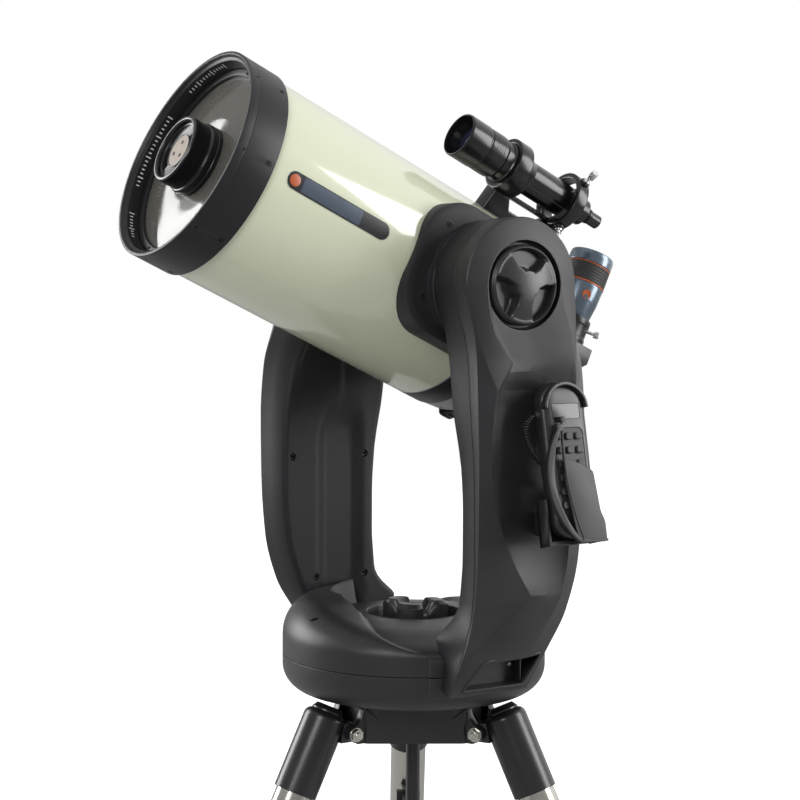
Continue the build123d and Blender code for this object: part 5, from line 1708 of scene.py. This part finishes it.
def handset_holder():
    edge = HAND_W / 2 + 0.6
    shape = Shape(HAND)
    back = [(-edge - 4, -104), (edge + 4, -104), (edge + 4, -48), (edge, -44), (-edge, -44), (-edge - 4, -48)]
    shape.prism(back, -5, -1, "panel")
    for sign in (-1, 1):
        wall = [(sign * edge, -104), (sign * (edge + 4), -104), (sign * (edge + 4), -46), (sign * edge, -46)]
        shape.prism(wall if sign > 0 else wall[::-1], -4.9, 14, "panel")
    sill = turned_frame(Matrix.Identity(4), (0, -104, 0), (0, 1, 0), (1, 0, 0))
    floor_outline = [(-edge - 4, -14), (edge + 4, -14), (edge + 4, 5), (-edge - 4, 5)]
    shape.prism(floor_outline, 0, 6, "panel", sill)
    toe = [(-2, -33), (10, -33), (10, 0), (-2, 0)]
    shape.prism(toe, 0.2, 5.8, "panel", sill)
    shape.build("handset_cradle", "fork", "panel_plastic", bevel=1.0, bevel_angle=35, segments=3,
                replaces=["handset_holder"])
    foot = Shape(FORK)
    foot.prism([(229, 25), (246, 25), (246, 61), (229, 61)], -312, -282, "panel")
    foot.build("holder_foot", "fork", "panel_plastic", bevel=1.5, bevel_angle=35, segments=3)
    flap = [(-16, 4), (11.5, -7), (28, -16), (33, -66), (edge + 4, -79), (edge + 4, -104), (-5, -104),
            (-9, -85), (-17, -28)]
    outline = smooth_polygon([(x, y, 0) for x, y in flap], 4, 4)
    pouch = Shape(HAND)
    pouch.prism([(p.x, p.y) for p in outline][::-1], HAND_T + 3.4, HAND_T + 6.2, "panel")
    pouch.prism([(-5, -33 - 0.2), (edge + 4, -33 - 0.2), (edge + 4, -4), (-5, -4)][::-1], 0.3, 3.6, "panel",
                sill)
    pouch.prism([(edge + 0.4, -103), (edge + 3.8, -103), (edge + 3.8, -80), (edge + 0.4, -80)], 4,
                HAND_T + 5, "panel")
    pouch.build("holder_flap", "fork", "panel_plastic", bevel=0.9, bevel_angle=35, segments=3)
    bow = Shape(HAND)
    outside = arc_through((-20, 40), (-44, -20), (-4, -104), 36)
    inside = arc_through((-14, 40), (-33, -24), (3, -104), 36)
    bow.prism((outside + inside[::-1])[::-1], HAND_T + 1.5, HAND_T + 7.6, "panel")
    bow.prism([(-22, 34), (-12, 34), (-12, 44), (-22, 44)], HAND_T - 2, HAND_T + 7.4, "panel")
    wire = arc_through((-13, 52), (-16, -20), (0, -97), 24) + arc_through((-10.6, 52), (-13.4, -20),
                                                                          (2.6, -97), 24)[::-1]
    bow.prism(wire[::-1], HAND_T + 3.6, HAND_T + 7.2, "panel")
    bow.prism([(-15, 46), (-8, 46), (-8, 53), (-15, 53)], HAND_T - 2, HAND_T + 7.0, "panel")
    bow.build("holder_bow", "fork", "panel_plastic", bevel=1.3, bevel_angle=35, segments=3)


def handset_cord():
    route = bpy.data.curves.new("cord_route", "CURVE")
    route.dimensions = "3D"
    spline = route.splines.new("NURBS")
    spline.points.add(len(CORD_ROUTE) - 1)
    for point, (x, y, z) in zip(spline.points, CORD_ROUTE):
        point.co = (x, y, z, 1)
    spline.order_u = 3
    spline.use_endpoint_u = True
    spline.resolution_u = 48
    guide = bpy.data.objects.new("cord_guide", route)
    bpy.context.scene.collection.objects.link(guide)
    mesh = bpy.data.meshes.new_from_object(guide)
    line = [v.co.copy() * 1000 for v in mesh.vertices]
    bpy.data.objects.remove(guide)
    bpy.data.meshes.remove(mesh)
    runs = [0.0]
    for a, b in zip(line, line[1:]):
        runs.append(runs[-1] + (b - a).length)
    total = runs[-1]
    turns = round((total - 8) / CORD_PITCH)
    steps = turns * 14
    centre, index = [], 0
    normal = Vector((1, 0, 0))
    for k in range(steps + 1):
        s = total * k / steps
        while index < len(runs) - 2 and runs[index + 1] < s:
            index += 1
        span = runs[index + 1] - runs[index]
        point = line[index].lerp(line[index + 1], (s - runs[index]) / span)
        tangent = (line[index + 1] - line[index]).normalized()
        normal = (normal - tangent * normal.dot(tangent)).normalized()
        side = tangent.cross(normal)
        coil = (CORD_R - WIRE_R) * step(s, 0, 6) * step(total - s, 0, 6)
        angle = 2 * math.pi * turns * k / steps
        centre.append(point + (normal * math.cos(angle) + side * math.sin(angle)) * coil)
    curve = bpy.data.curves.new("handset_cord_coil", "CURVE")
    curve.dimensions = "3D"
    wire = curve.splines.new("NURBS")
    wire.points.add(len(centre) - 1)
    for point, place in zip(wire.points, centre):
        point.co = (*(place / 1000), 1)
    wire.order_u = 3
    wire.use_endpoint_u = True
    wire.resolution_u = 2
    curve.bevel_depth = WIRE_R / 1000
    curve.bevel_resolution = 3
    curve.use_fill_caps = True
    piece = bpy.data.objects.new("handset_cord_coil", curve)
    bpy.context.scene.collection.objects.link(piece)
    curve.materials.append(MATERIALS["cord"])
    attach(piece, "fork")
    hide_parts("handset_cord")
    cord_plug()


def cord_plug():
    before, last = CORD_ROUTE[-2], CORD_ROUTE[-1]
    place = FORK.inverted() @ cord_frame(last, [2 * b - a for a, b in zip(before, last)])
    plug = Shape(FORK)
    body = [(x, y) for x, y in rounded_box(8, 12, 1.2, 3)]
    neck = [(x * 0.72, y * 0.72) for x, y in body]
    rows = [[(x, y, h) for x, y in outline] for outline, h in ((neck, 0), (neck, 2.2), (body, 3.4),
                                                               (body, 21.4),
                                                               ([(x * 0.95, y * 0.95) for x, y in body], 22))]
    plug.loft(rows, "cord", place)
    return plug.build("cord_plug", "fork", "cord_jacket", smooth=35, replaces=["handset_plug"])


handset_shell()
handset_keys()
handset_holder()
handset_cord()


# ---------------------------------------------------------------- nodes that keep their own shape

KEPT_NODES = {
    "stand": ("center_rod", "leg_brace"),
    "gear": ("azimuth_base_plate", "azimuth_ring_gear", "altitude_wheel"),
    "knob": ("brace_tension_knob", "power_switch"),
    "panel": ("control_panel",),
    "brass": ("azimuth_worm", "altitude_worm"),
    "motor": ("drive_motors",),
    "board": ("main_circuit_board",),
    "flat_black": ("baffle_tube",),
    "mirror": ("secondary_mirror", "primary_mirror"),
    "steel": ("leg_1_tube", "leg_2_tube", "leg_3_tube"),
}
for look, nodes in KEPT_NODES.items():
    for node in nodes:
        paint(node, look)
